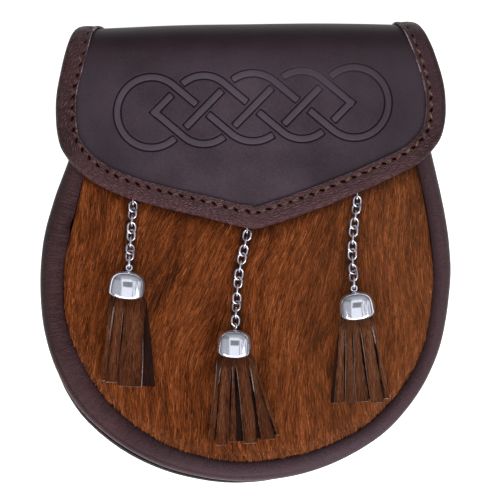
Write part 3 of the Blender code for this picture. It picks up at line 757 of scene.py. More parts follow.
def binding_leather():
    """The roll's leather with creases and awl holes, lighter along the hem; its cut edge is pale. Painted
    shade darkens the holes, the rounded outer edge away from the hem, and the part near the fold.
    """
    leather = Leather("binding_leather", rgb(73, 48, 51), gloss=0.46, specular=0.14)
    hem = leather.attribute("hem")
    creased = leather.attribute("creased")
    right = leather.part(leather.where, "X").step(-8.0, 12.0)
    leather.tint(hem * (0.75 - right * 0.25), rgb(107, 76, 79))
    leather.tint((1.0 - creased) * 0.9, rgb(62, 42, 48))
    # painted shade on the band's rounded outer edge and underside, away from the hem
    leather.tint(leather.attribute("nose") * 0.8, rgb(12, 7, 8))
    along = leather.stretch(leather.turned(leather.uv(), -9.0), 1.5, 0.4)
    leather.creases(along, 0.9, 0.85, hem * (1.0 - right))
    lengthwise = leather.stretch(leather.turned(leather.uv(), -4.0), 1.3, 0.25)
    leather.creases(lengthwise, 1.0, 0.7, hem * right)
    slanted = leather.stretch(leather.turned(leather.uv(), -35.0), 1.35, 0.3)
    # painted shade towards the fold
    high_up = leather.part(leather.where, "Y").step(62.0, 88.0)
    leather.tint(high_up * 0.3, rgb(48, 26, 32))
    leather.creases(slanted, 1.1, 0.9, (1.0 - hem) * creased * (1.0 - high_up * 0.4))
    leather.pebble(0.9, 0.5, 0.3)
    hole = 1.0 - leather.attribute("hole").step(-0.4, 0.1)
    cut = leather.attribute("cut_edge")
    fibre = leather.noise(leather.where, 0.9, 4.0)
    torn = leather.noise(leather.where, 0.13, 3.0).step(0.42, 0.6)
    pale = (cut * (fibre * 3.2 - 0.9) * (torn * 0.8 + 0.2)).clip()
    leather.tint(pale, rgb(176, 158, 162))
    # painted shade down the awl holes
    leather.tint(hole * 0.97, rgb(16, 5, 4))
    leather.rough = leather.rough + hole * 0.5 + cut * 0.2
    return leather.finished(0.3)


def awl_hole():
    """The bottom of an awl hole, painted dark as shade down the hole."""
    finish = Finish("awl_hole", {"Specular IOR Level": 0.0, "Roughness": 0.9})
    fine = finish.noise(finish.place(), 1.2, 2.0)
    finish.set("Base Color", finish.mix(fine, rgb(18, 5, 4), rgb(46, 16, 10)))
    return finish.material


def body_leather(name, colour, specular=0.13):
    """Plain sides and back."""
    leather = Leather(name, colour, gloss=0.5, specular=specular)
    leather.wrinkles(leather.stretch(leather.uv(), 0.5, 0.12), 0.5, 0.25)
    leather.pebble(1.2, 0.5, 0.2)
    return leather.finished(0.15)


def edge_paint():
    return Leather("edge_paint", rgb(30, 18, 19), gloss=0.4).finished(0.06)


HAIR_TONES = [
    (0.0, rgb(34, 12, 5)),
    (0.28, rgb(66, 28, 10)),
    (0.52, rgb(102, 48, 18)),
    (0.75, rgb(136, 71, 34)),
    (1.0, rgb(172, 100, 60)),
]
TASSEL_TONES = [
    (0.0, rgb(18, 7, 4)),
    (0.35, rgb(48, 21, 11)),
    (0.65, rgb(84, 42, 23)),
    (1.0, rgb(120, 72, 48)),
]
HAIR_PALER = rgb(130, 90, 64)
HAIR_SHINE = {"Specular IOR Level": 0.2, "Specular Tint": (1.0, 0.7, 0.46, 1.0)}


def coat_colour(finish, tone, tones, paler_right):
    """The ramp's colour, a little paler towards the right."""
    right = finish.part(finish.place(), "X").step(-10.0, 75.0)
    return finish.mix(right * paler_right, finish.ramp(tone.clip(), tones), HAIR_PALER)


def hide_coat():
    """The skin below the lying hairs, streaked along the lay like them."""
    finish = Finish("hide_coat", HAIR_SHINE)
    fine = finish.noise(finish.stretch(finish.uv(), 2.6, 0.14), 1.0, 3.0, 0.7, 0.15)
    broad = finish.noise(finish.stretch(finish.uv(), 0.7, 0.06), 1.0, 3.0, 0.6, 0.3)
    tone = finish.attribute("tone") + (fine - 0.5) * 0.7 + (broad - 0.5) * 0.4
    return finish.close(coat_colour(finish, tone, HAIR_TONES, 0.17), fine * 0.25 + 0.35, fine, 0.2)


def hair(name, tones, paler_right):
    """Glossy hairs, each with a tone that changes from root to tip."""
    finish = Finish(name, HAIR_SHINE)
    tone = finish.attribute("tone")
    return finish.close(coat_colour(finish, tone, tones, paler_right), 0.5 - tone * 0.12)


def strip_face(name, low, high, streak, cells):
    """A tassel strip's faces: flattened dull hair, or the suede of the flesh side."""
    finish = Finish(name, {"Specular IOR Level": 0.04, "Specular Tint": (1.0, 0.75, 0.6, 1.0)})
    fine = finish.noise(finish.stretch(finish.uv(), cells, streak), 1.0, 4.0, 0.72, 0.25)
    broad = finish.noise(finish.stretch(finish.uv(), 0.5, 0.06), 1.0, 3.0)
    share = (fine * 0.7 + broad * 0.45).step(0.32, 0.82)
    return finish.close(finish.mix(share, low, high), fine * 0.2 + 0.5, fine, 0.35)


def cut_edge():
    finish = Finish("cut_edge", {"Specular IOR Level": 0.25})
    fibre = finish.noise(finish.place(), 1.4, 4.0, 0.7)
    colour = finish.mix(fibre.step(0.3, 0.6), rgb(88, 66, 64), rgb(168, 144, 138))
    return finish.close(colour, fibre * 0.2 + 0.6, fibre, 0.15)


def thread():
    """Twisted waxed thread: dark on the left, its own tan on the hem and the right."""
    finish = Finish("thread", {"Specular IOR Level": 0.3})
    settings = {"bands_direction": "DIAGONAL"}
    values = {"Vector": finish.uv(), "Scale": 0.9, "Distortion": 0.6, "Detail": 1.0}
    twist = finish.node("ShaderNodeTexWave", settings, values)
    wear = finish.noise(finish.place(), 0.22, 3.0)
    share = (twist * 0.5 + wear * 0.9).step(0.45, 1.1)
    towards_right = (finish.part(finish.place(), "X") + wear * 30.0).step(-25.0, 30.0)
    dark = finish.mix(towards_right, rgb(52, 26, 22), rgb(84, 60, 48))
    pale = finish.mix(towards_right, rgb(140, 106, 92), rgb(164, 136, 112))
    return finish.close(finish.mix(share, dark, pale), wear * 0.2 + 0.5, twist, 0.1)


def chrome():
    """Bright plate over a hand-polished ground, a little hazed."""
    finish = Finish("chrome", {"Metallic": 0.86, "Specular IOR Level": 0.6})
    where = finish.place()
    ground = finish.noise(where, 0.16, 2.0)
    haze = finish.noise(where, 1.2, 3.0)
    colour = finish.mix(haze, rgb(198, 200, 212), rgb(226, 228, 240))
    return finish.close(colour, haze * 0.12 + 0.04, ground, 0.05)


FINISHES = {
    "flap_leather": flap_leather(),
    "trim_leather": trim_leather(),
    "binding_leather": binding_leather(),
    "awl_hole": awl_hole(),
    "body_leather": body_leather("body_leather", rgb(40, 27, 30)),
    # the gusset's wall is painted darker than the back, as shade under the roll
    "side_leather": body_leather("side_leather", rgb(26, 17, 19), 0.02),
    "edge_paint": edge_paint(),
    "hide_coat": hide_coat(),
    "hair": hair("hair", HAIR_TONES, 0.17),
    "tassel_hair": hair("tassel_hair", TASSEL_TONES, 0.2),
    "strip_hair": strip_face("strip_hair", rgb(20, 8, 5), rgb(74, 36, 20), 0.13, 1.6),
    "strip_flesh": strip_face("strip_flesh", rgb(17, 6, 5), rgb(40, 21, 18), 0.5, 1.0),
    "cut_edge": cut_edge(),
    "thread": thread(),
    "chrome": chrome(),
}


# ---- mesh tools ------------------------------------------------------------
def add_object(name, data):
    item = bpy.data.objects.new(name, data)
    bpy.context.scene.collection.objects.link(item)
    return item


def piece(name, points, faces, finishes, slot, nodes=(), uv=None, values=None, choice=None, sharp=50.0):
    """A named mesh riding on the pouch. finishes are names; choice picks one for each face."""
    mesh = bpy.data.meshes.new(name)
    mesh.from_pydata(((np.asarray(points, float) + FRAME_SHIFT) * MM).tolist(), [], faces)
    for finish in [finishes] if isinstance(finishes, str) else finishes:
        mesh.materials.append(FINISHES[finish])
    if uv is not None:
        corners = np.zeros(len(mesh.loops), np.int32)
        mesh.loops.foreach_get("vertex_index", corners)
        layer = mesh.uv_layers.new(name="lay")
        layer.data.foreach_set("uv", np.asarray(uv, np.float32)[corners].ravel())
    for key, numbers in (values or {}).items():
        attribute = mesh.attributes.new(key, "FLOAT", "POINT")
        attribute.data.foreach_set("value", np.asarray(numbers, np.float32).ravel())
    if choice is not None:
        mesh.polygons.foreach_set("material_index", np.asarray(choice, np.int32))
    mesh.shade_smooth()
    mesh.set_sharp_from_angle(angle=math.radians(sharp))
    item = add_object(name, mesh)
    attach(item, "root")
    if nodes:
        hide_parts(*nodes)
    return item


def grid_faces(rows, columns, start=0, closed=False, flip=False):
    """Quads over a grid of points; closed joins each row's last point to its first."""
    spans = columns if closed else columns - 1
    row, column = np.meshgrid(np.arange(rows - 1), np.arange(spans), indexing="ij")
    a = start + row * columns + column
    b = start + row * columns + (column + 1) % columns
    quads = np.stack([a, b, b + columns, a + columns], axis=-1).reshape(-1, 4)
    return (quads[:, ::-1] if flip else quads).tolist()


def ring_faces(around, sides):
    """Quads over a closed ring of closed sections."""
    here = np.arange(around * sides).reshape(around, sides)
    after = np.roll(here, -1, axis=0)
    quads = np.stack([np.roll(here, -1, axis=1), np.roll(after, -1, axis=1), after, here], axis=-1)
    return quads.reshape(-1, 4).tolist()


def border(rows, columns, step=1):
    """Indices round a grid of points, counterclockwise from its first corner."""
    low = [(0, c) for c in range(0, columns - 1, step)]
    right = [(r, columns - 1) for r in range(0, rows - 1, step)]
    high = [(rows - 1, c) for c in range(columns - 1, 0, -step)]
    left = [(r, 0) for r in range(rows - 1, 0, -step)]
    return [r * columns + c for r, c in low + right + high + left]


def closed_sheet(top, bottom, step=1):
    """Points and faces of a sheet between two grids; the bottom keeps one point of each step."""
    rows, columns = top.shape[:2]
    low = bottom[::step, ::step]
    low_rows, low_columns = low.shape[:2]
    start = rows * columns
    faces = grid_faces(rows, columns)
    faces += grid_faces(low_rows, low_columns, start, flip=True)
    upper = border(rows, columns)
    lower = [start + i for i in border(low_rows, low_columns)]
    rim = []
    for i, here in enumerate(lower):
        chain = [upper[(i * step + k) % len(upper)] for k in range(step + 1)]
        rim.append([*chain[::-1], here, lower[(i + 1) % len(lower)]])
    points = np.vstack([top.reshape(-1, 3), low.reshape(-1, 3)])
    return points, faces + rim, len(rim)


def with_low(values, step=1):
    """The values of a grid, then those of its bottom grid, as closed_sheet orders its points."""
    low = values[::step, ::step]
    flat = values.shape[2:]
    return np.concatenate([values.reshape(-1, *flat), low.reshape(-1, *flat)])


def tube(sections, flip=False):
    """Points and faces of a solid through closed sections (rows, points, 3)."""
    rows, count = sections.shape[:2]
    faces = grid_faces(rows, count, closed=True, flip=flip)
    first, last = list(range(count)), list(range((rows - 1) * count, rows * count))
    faces.append(first if flip else first[::-1])
    faces.append(last[::-1] if flip else last)
    return sections.reshape(-1, 3), faces


class Heap:
    """Many small closed shapes gathered into one mesh."""

    def __init__(self):
        self.points, self.faces, self.uvs, self.choice, self.count = [], [], [], [], 0

    def add(self, points, faces, uv=None, choice=0):
        points = np.asarray(points, float).reshape(-1, 3)
        self.points.append(points)
        self.faces += [[i + self.count for i in face] for face in faces]
        self.uvs.append(np.zeros((len(points), 2)) if uv is None else np.asarray(uv, float).reshape(-1, 2))
        self.choice += [choice] * len(faces) if np.isscalar(choice) else list(choice)
        self.count += len(points)

    def piece(self, name, finishes, slot, nodes=(), **more):
        points, uv = np.vstack(self.points), np.vstack(self.uvs)
        return piece(name, points, self.faces, finishes, slot, nodes, uv=uv, choice=self.choice, **more)


def wire_sections(path, radius, sides, closed):
    """Round sections along a 3-D path, with one steady side direction."""
    path = np.asarray(path, float)
    if closed:
        tangent = unit(np.roll(path, -1, axis=0) - np.roll(path, 1, axis=0))
    else:
        tangent = unit(np.gradient(path, axis=0))
    first = np.cross(tangent[0], [0.0, 0.0, 1.0])
    if np.linalg.norm(first) < 0.1:
        first = np.cross(tangent[0], [1.0, 0.0, 0.0])
    side = first / np.linalg.norm(first)
    angles = 2 * math.pi * np.arange(sides) / sides
    sections = []
    for point, along in zip(path, tangent):
        side = side - along * np.dot(side, along)
        side = side / np.linalg.norm(side)
        up = np.cross(side, along)
        ring = np.outer(np.cos(angles), side) + np.outer(np.sin(angles), up)
        sections.append(point + radius * ring)
    return np.array(sections)


# ---- the pressed interlace -------------------------------------------------
def arc(middle, half_width, half_height, start, end, count=40):
    """Points of an ellipse's arc; angles in degrees, counterclockwise where end is above start."""
    angles = np.radians(np.linspace(start, end, count))
    x = middle[0] + half_width * np.cos(angles)
    y = middle[1] + half_height * np.sin(angles)
    return np.column_stack([x, y])


def round_turn(u, corner, side):
    """The turn below the corner of two straight runs at (u, side * corner), walked from left to right."""
    slant = math.atan(KNOT_SLOPE)
    radius = (corner - KNOT_ARC_TOP) / (1.0 / math.cos(slant) - 1.0)
    spread = math.degrees(slant)
    middle = (u, side * (KNOT_ARC_TOP - radius))
    return arc(middle, radius, radius, side * (90 + spread), side * (90 - spread))


def end_loop(side):
    """The loop at one end, from where the falling run meets it to where the rising run does."""
    middle, wide, tall = KNOT_END
    run = KNOT_SLOPE * (middle - 1.0)
    meet = math.degrees(math.atan2(tall / run, wide * KNOT_SLOPE / run))
    if side > 0:
        return arc((middle, 0.0), wide, tall, 180.0 - meet, meet - 180.0, 90)
    return arc((-middle, 0.0), wide, tall, -meet, meet - 360.0, 90)


def knot_paths():
    """Middle lines of the two closed strands, in steps, with the middle crossing at 0, 0."""
    corner = KNOT_SLOPE
    outer = [end_loop(-1), round_turn(0.0, corner, -1), end_loop(1), round_turn(0.0, corner, 1)[::-1]]
    corner = KNOT_SLOPE * 0.5 * KNOT_TIP
    tips = [np.array([[-KNOT_TIP, 0.0]]), np.array([[KNOT_TIP, 0.0]])]
    turn = 0.5 * KNOT_TIP
    inner = [
        tips[0], round_turn(-turn, corner, 1), round_turn(turn, corner, -1),
        tips[1], round_turn(turn, corner, 1)[::-1], round_turn(-turn, corner, -1)[::-1],
    ]
    paths = []
    for pieces in (outer, inner):
        loop = np.vstack(pieces)
        loop = np.vstack([loop, loop[:1]])
        paths.append(even_places(loop, 1 + int(lengths_along(loop)[-1] / KNOT_FINE)))
    return paths


def crossings(path, other):
    """Places where path crosses other: the distance along it, the height there and whether it rises."""
    along = lengths_along(path)
    step, other_step = np.diff(path, axis=0), np.diff(other, axis=0)
    found = []
    for i, (place, way) in enumerate(zip(path[:-1], step)):
        gap = other[:-1] - place
        cross = way[0] * other_step[:, 1] - way[1] * other_step[:, 0]
        square = np.abs(cross) > 0.5 * np.dot(way, way)
        cross = np.where(square, cross, 1.0)
        t = (gap[:, 0] * other_step[:, 1] - gap[:, 1] * other_step[:, 0]) / cross
        w = (gap[:, 0] * way[1] - gap[:, 1] * way[0]) / cross
        apart = (other is not path) | (np.abs(np.arange(len(other_step)) - i) % (len(step) - 1) > 3)
        if np.any(square & apart & (t >= 0) & (t < 1) & (w >= 0) & (w < 1)):
            found.append((along[i], place[1], way[0] * way[1] > 0))
    return found


def knot_pieces():
    """The strands cut where they pass under: on the middle line the rising strand lies on top."""
    paths = knot_paths()
    trim = (0.5 * KNOT_WIDTH + KNOT_BREAK) / KNOT_STEP
    pieces = []
    for path in paths:
        along = lengths_along(path)
        total = along[-1]
        cuts = []
        for other in paths:
            for distance, height, rises in crossings(path, other):
                on_middle = abs(height) < 0.2
                if rises != on_middle:
                    cuts.append((distance, trim))
        for tip in (-KNOT_TIP, KNOT_TIP):
            near = np.hypot(path[:-1, 0] - tip, path[:-1, 1])
            if near.min() < 0.02:
                cuts.append((along[near.argmin()], 0.0))
        cuts.sort()
        cuts = [cut for i, cut in enumerate(cuts) if i == 0 or cut[0] - cuts[i - 1][0] > 0.1]
        if cuts[0][0] + total - cuts[-1][0] < 0.1:
            cuts.pop()
        closing = (cuts[0][0] + total, cuts[0][1])
        for (start, start_trim), (end, end_trim) in zip(cuts, cuts[1:] + [closing]):
            wanted = np.arange(start + start_trim, end - end_trim + 1e-6, KNOT_FINE) % total
            line = read_path(path, along, wanted)
            # a sharp turn's two straight runs each reach past it, so that they join in a square corner
            reach = 0.5 * KNOT_WIDTH / KNOT_STEP + 2 * KNOT_FINE
            if start_trim == 0.0:
                way = (line[2] - line[6]) / np.linalg.norm(line[2] - line[6])
                line = np.vstack([line[2] + way * reach, line[2:]])
            if end_trim == 0.0:
                way = (line[-3] - line[-7]) / np.linalg.norm(line[-3] - line[-7])
                line = np.vstack([line[:-2], line[-3] + way * reach])
            pieces.append(even_places(line, 2 + int(lengths_along(line)[-1] / 0.02)))
    return pieces


def strand_distance(x, y):
    """Signed distance in millimetres from a strand's edge at flat places on the flap; inside is negative."""
    turn = math.radians(-KNOT_TILT)
    dx, dy = x - KNOT_CENTRE[0], y - KNOT_CENTRE[1]
    place = np.column_stack([
        (dx * math.cos(turn) - dy * math.sin(turn)).ravel(),
        (dx * math.sin(turn) + dy * math.cos(turn)).ravel(),
    ])
    half = 0.5 * KNOT_WIDTH
    found = np.full(len(place), FAR)
    near = (np.abs(place[:, 0]) < 2.9 * KNOT_STEP) & (np.abs(place[:, 1]) < KNOT_STEP)
    near_knot = np.flatnonzero(near)
    for path in knot_pieces():
        path = path * KNOT_STEP
        low, high = path.min(axis=0) - 5.0, path.max(axis=0) + 5.0
        inside = np.all((place[near_knot] > low) & (place[near_knot] < high), axis=1)
        chosen = near_knot[inside]
        points = place[chosen]
        nearest = np.zeros(len(points), int)
        for first in range(0, len(points), 4000):
            block = points[first:first + 4000]
            gaps = ((block[:, None] - path[None]) ** 2).sum(axis=2)
            nearest[first:first + 4000] = gaps.argmin(axis=1)
        tangent = unit(np.gradient(path, axis=0))
        offset = points - path[nearest]
        along = (offset * tangent[nearest]).sum(axis=1)
        across = np.abs(offset[:, 0] * tangent[nearest, 1] - offset[:, 1] * tangent[nearest, 0])
        first, last = nearest == 0, nearest == len(path) - 1
        past = np.where(first, -along, np.where(last, along, -FAR))
        side = np.where(first | last, across, np.hypot(along, across)) - half
        beyond = np.maximum(side, past)
        outside = (side > 0) & (past > 0)
        beyond = np.where(outside, np.hypot(side, past), beyond)
        found[chosen] = np.minimum(found[chosen], beyond)
    return found.reshape(x.shape)


# ---- flap and binding ------------------------------------------------------
def make_flap():
    across, up, over, tail = FLAP_GRID
    rows = np.linspace(FOLD_Y, SEAM_END, over + 1)
    front, left_x, right_x = split_outline(flap_outline(BIND_EDGE + 2 * GAP), rows)
    left_corner = np.argmin(np.hypot(*(front - FLAP_SIDE_LEFT[-1]).T))
    right_corner = np.argmin(np.hypot(*(front - FLAP_SIDE_RIGHT[0]).T))
    hem = smooth_rows(front[left_corner:right_corner + 1], across + 1)
    left = smooth_rows(front[:left_corner + 1][::-1], up + 1)
    right = smooth_rows(front[right_corner:], up + 1)
    grid = list(coons_patch(hem, np.linspace(left[-1], right[-1], across + 1), left, right))[:-1]
    ends = list(zip(left_x, right_x, rows))
    ends += [(*TAIL_X, y) for y in np.linspace(SEAM_END + 1.5, SEAM_END + TAIL_LENGTH, tail)]
    for left_end, right_end, y in ends:
        grid.append(np.linspace((left_end, y), (right_end, y), across + 1))
    grid = np.array(grid)
    x, y = grid[..., 0], grid[..., 1]
    strand = strand_distance(x, y)
    wear_x, wear_y, wear_wide, wear_tall = KNOT_WEAR
    worn = 1.0 - KNOT_WORN * np.exp(-((x - wear_x) / wear_wide) ** 2 - ((y - wear_y) / wear_tall) ** 2)
    raised = KNOT_RAISE * smooth_step(-strand / 0.6) - KNOT_PRESS * np.exp(-(strand / 0.35) ** 2)
    sag = FLAP_WAVE * layered_noise(x, y, 34.0, 26.0, 5, 2)
    middle, normal = roll_up(x, y), flap_normal(x, y)
    top = middle + normal * (0.5 * FLAP_THICK + raised * worn + sag)[..., None]
    bottom = middle - normal * (0.5 * FLAP_THICK - 0.3 * sag)[..., None]
    points, faces, rim = closed_sheet(top, bottom, COARSE)
    values = {"strand": with_low(strand, COARSE), "worn": with_low(worn, COARSE)}
    values["strand"][strand.size:] = FAR
    choice = [0] * (len(faces) - rim) + [1] * rim
    flap = piece("flap", points, faces, ["flap_leather", "edge_paint"], "flap_leather", ["flap"],
                 uv=with_low(grid, COARSE), values=values, choice=choice)
    width = float(grid[..., 0].max() - grid[..., 0].min())
    length = float(y.max() - y.min())
    rows_wide = grid[:, -1, 0] - grid[:, 0, 0]
    return flap


def binding_edge(front_count, fold_count):
    """The bound edge in the flat from the left seam round the hem to the right one, and its inward way."""
    rows = np.linspace(FOLD_Y, SEAM_END, fold_count + 1)
    front, left_x, right_x = split_outline(flap_outline(), rows)
    front = smooth_rows(front, front_count)
    left = np.column_stack([left_x[1:], rows[1:]])[::-1]
    right = np.column_stack([right_x[1:], rows[1:]])
    edge = np.vstack([left, front, right])
    inward = -side_normals(edge)
    level = np.column_stack([1.0 / inward[:, 0].clip(-1.0, 1.0), np.zeros(len(edge))])
    share = smooth_step((edge[:, 1] - FOLD_Y + 8.0) / 8.0)[:, None]
    level[share[:, 0] == 0.0] = 0.0
    return edge, inward * (1 - share) + level * share


def on_flap(edge, inward, distance, height):
    """Points over the folded flap: distance in from the edge, height off the leather's middle."""
    flat = edge + inward * np.asarray(distance)[..., None]
    x, y = flat[..., 0], flat[..., 1]
    return roll_up(x, y) + flap_normal(x, y) * np.asarray(height)[..., None]


def stitch_depth(edge):
    """How far in from the bound edge the stitches run."""
    up_left = smooth_step((-52.0 - edge[:, 0]) / 16.0) * smooth_step((edge[:, 1] - 26.0) / 14.0)
    up_left = up_left * (1.0 - 0.5 * smooth_step((edge[:, 1] - 84.0) / 10.0))
    return STITCH_IN + (STITCH_IN_LEFT - STITCH_IN) * up_left


def stitch_places():
    """The awl holes' places along the stitch line, then the edge point and inward way for each."""
    edge, inward = binding_edge(900, 90)
    line = on_flap(edge, inward, stitch_depth(edge), np.full(len(edge), 2.0))
    along = lengths_along(line, 3)
    wanted = np.arange(3.0, along[-1] - 2.0, STITCH_PITCH)
    wanted = wanted + np.random.default_rng(11).uniform(-0.25, 0.25, len(wanted))
    return wanted, read_path(np.column_stack([edge, inward]), along, wanted)


def band_section():
    """The band's section as distances in from the edge and heights, and which points are on its face."""
    inner = 0.5 * FLAP_THICK + GAP
    outer = inner + BIND_THICK
    nose = 0.5 * math.pi + math.pi * (np.arange(1, 9) / 9.0)
    section = [(BIND_WIDTH + 0.1, inner)]
    section += [(d, outer - 0.16 * smooth_step((d - 8.2) / 0.8)) for d in BAND_FACE]
    section += [(BAND_NOSE * (1.0 + math.cos(a)), outer * math.sin(a)) for a in nose]
    section += [(2.7, -outer), (5.0, -outer), (7.4, -outer), (BIND_WIDTH, -outer), (BIND_WIDTH, -inner)]
    section += [(BIND_EDGE + GAP, -inner), (BIND_EDGE, 0.0), (BIND_EDGE + GAP, inner)]
    is_top = np.zeros(len(section), bool)
    is_top[1:len(BAND_FACE) + 1] = True
    return np.array(section), is_top


def make_binding():
    edge, inward = binding_edge(*BAND_GRID)
    section, is_top = band_section()
    seam = stitch_depth(edge)[:, None]
    along = lengths_along(on_flap(edge, inward, seam[:, 0], np.full(len(edge), 2.0)), 3)
    distance = np.broadcast_to(section[:, 0], (len(edge), len(section))).copy()
    height = np.broadcast_to(section[:, 1], distance.shape).copy()
    run = np.broadcast_to(along[:, None], distance.shape)
    holes, _ = stitch_places()
    nearest = holes[np.abs(run[:, :1] - holes[None]).argmin(axis=1)][:, None]
    ahead, inside, slant = run - nearest, distance - seam, math.radians(HOLE_SLANT)
    slit = np.hypot(
        (ahead * math.cos(slant) - inside * math.sin(slant)) / HOLE_HALF[0],
        (ahead * math.sin(slant) + inside * math.cos(slant)) / HOLE_HALF[1])
    # the holes are pulled narrow high up on both sides
    high_up = smooth_step((edge[:, 1:] - np.where(edge[:, :1] > 0.0, 60.0, 72.0)) / 18.0)
    slit = slit / (1.0 - 0.4 * high_up) - 1.0
    slit = np.where(is_top, slit, FAR)
    # the band sinks along the stitches and more at each hole, puffs beside them, and has broad creases
    deep, deeper, half = BAND_FURROW
    furrow = np.exp(-((distance - seam) / half) ** 2)
    beat = 0.5 + 0.5 * np.cos(2 * math.pi * (run - nearest) / STITCH_PITCH)
    height = height - is_top * (deep * furrow + deeper * furrow * beat)
    puff, puff_in, half = BAND_PUFF
    height = height + is_top * puff * np.exp(-((distance - puff_in) / half) ** 2) * (1.2 - beat)
    height = height - HOLE_DEPTH * smooth_step(-slit * 1.6 + 0.3) * is_top
    crease = layered_noise(distance + 0.12 * run, run, 2.4, 16.0, 21)
    height = height + BAND_CREASE * crease * is_top
    # its inner edge is rounded off at the hem's tip, wider near the left end of the fold, and wavers
    from_tip = (edge[:, :1] / TIP_ROUND) ** 2
    rounding = 0.5 * (1.0 - 2.0 * from_tip) * np.exp(-from_tip) * (edge[:, 1:] < 20.0)
    wider, wide_y, half = BAND_WIDER
    wide = wider * np.exp(-((edge[:, 1:] - wide_y) / half) ** 2) * (edge[:, :1] < 0.0)
    carry = is_top * np.clip(section[:, 0] / 7.0 - 0.2, 0.0, 1.0)
    distance = distance + rounding * carry + wide * carry
    inner_edge = is_top & (section[:, 0] > 7.9)
    distance = distance + inner_edge * 0.35 * layered_noise(run, run * 0, 22.0, 9.0, 31)
    points, faces = tube(on_flap(edge[:, None], inward[:, None], distance, height))
    # the raw cut edge shows palest high on both sides, where the band is not dyed over
    x, y = edge[:, :1], edge[:, 1:]
    pale = smooth_step((y - np.where(x < 0, 40.0, 60.0)) / 14.0) * np.where(x < 0, 0.9, 0.6) + 0.25
    lip = np.interp(section[:, 0], BAND_LIP, [0.0, 1.0]) * (section[:, 1] > 0.0)
    hem = 1.0 - smooth_step((y - HEM_Y[0]) / (HEM_Y[1] - HEM_Y[0]))
    calm = 1.0 - 0.75 * smooth_step((x - 62.0) / 14.0) * smooth_step((y - HEM_Y[1]) / 16.0)
    # painted shade on the band's rounded outer edge and underside, away from the hem
    painted_nose_shade = (1.0 - smooth_step((section[:, 0] - 0.6) / 2.4) * (section[:, 1] > 0.0)) * (1.0 - hem)
    values = {
        "hole": slit, "cut_edge": pale * lip, "hem": hem + 0 * distance,
        "creased": calm + 0 * distance, "nose": painted_nose_shade}
    uv = np.stack([distance, run], axis=-1).reshape(-1, 2)
    depth = slit + np.roll(slit, -1, axis=1)
    choice = (depth[:-1] + depth[1:] < -0.6).astype(int).ravel().tolist() + [0, 0]
    finishes = ["binding_leather", "awl_hole"]
    return piece("flap_binding", points, faces, finishes, "trim_leather", ["flap_binding"],
                 uv=uv, values=values, choice=choice, sharp=60.0)


def strand(middle, way, up, span, arch):
    """A short round thread that dives into the leather at both ends."""
    along, sides = THREAD_GRID
    share = np.linspace(-1.0, 1.0, along)
    height = arch - THREAD_DIVE * np.abs(share) ** 2.6
    path = middle + np.outer(share * 0.5 * span, way) + np.outer(height, up)
    rings = wire_sections(path, 1.0, sides, False)
    thick = 0.5 * THREAD * (1.0 - 0.3 * np.abs(share) ** 3)
    rings = path[:, None] + (rings - path[:, None]) * thick[:, None, None]
    points, faces = tube(rings, flip=True)
    u, v = np.meshgrid(np.linspace(0, span, along), np.linspace(0, 1.7, sides), indexing="ij")
    return points, faces, np.stack([u, v], axis=-1)


def stitch_run(heap, points, normals, draw, span=THREAD_SPAN, slant=THREAD_SLANT, strands=(-0.3, 0.3)):
    """Stitches from each hole to the next on a surface, their strands this far off the line."""
    for here, after, up in zip(points[:-1], points[1:], normals[:-1]):
        along = (after - here) / np.linalg.norm(after - here)
        side = np.cross(up, along)
        middle = 0.5 * (here + after)
        for offset in strands:
            turn = math.radians(slant + draw.uniform(-7.0, 7.0))
            way = along * math.cos(turn) + side * math.sin(turn)
            shifted = middle + side * (offset + draw.uniform(-0.12, 0.12)) + along * draw.uniform(-0.3, 0.3)
            heap.add(*strand(shifted, way, up, span * draw.uniform(0.85, 1.1), draw.uniform(0.12, 0.34)))


def make_binding_stitches():
    _, rows = stitch_places()
    surface = 0.5 * FLAP_THICK + GAP + BIND_THICK - 0.3
    depth = stitch_depth(rows[:, :2])
    flat = rows[:, :2] + rows[:, 2:] * depth[:, None]
    normals = flap_normal(flat[:, 0], flat[:, 1])
    heap = Heap()
    draw = np.random.default_rng(17)
    stitch_run(heap, on_flap(rows[:, :2], rows[:, 2:], depth, np.full(len(rows), surface)), normals, draw)
    under = on_flap(rows[:, :2], rows[:, 2:], depth, np.full(len(rows), -surface - 0.3))
    stitch_run(heap, under, -normals, draw, span=3.8, slant=0.0, strands=(0.0,))
    return heap.piece("binding_stitches", "thread", "trim_leather")


# ---- pouch body ------------------------------------------------------------
def body_path(count):
    return smooth_rows(BODY_EDGE, count)


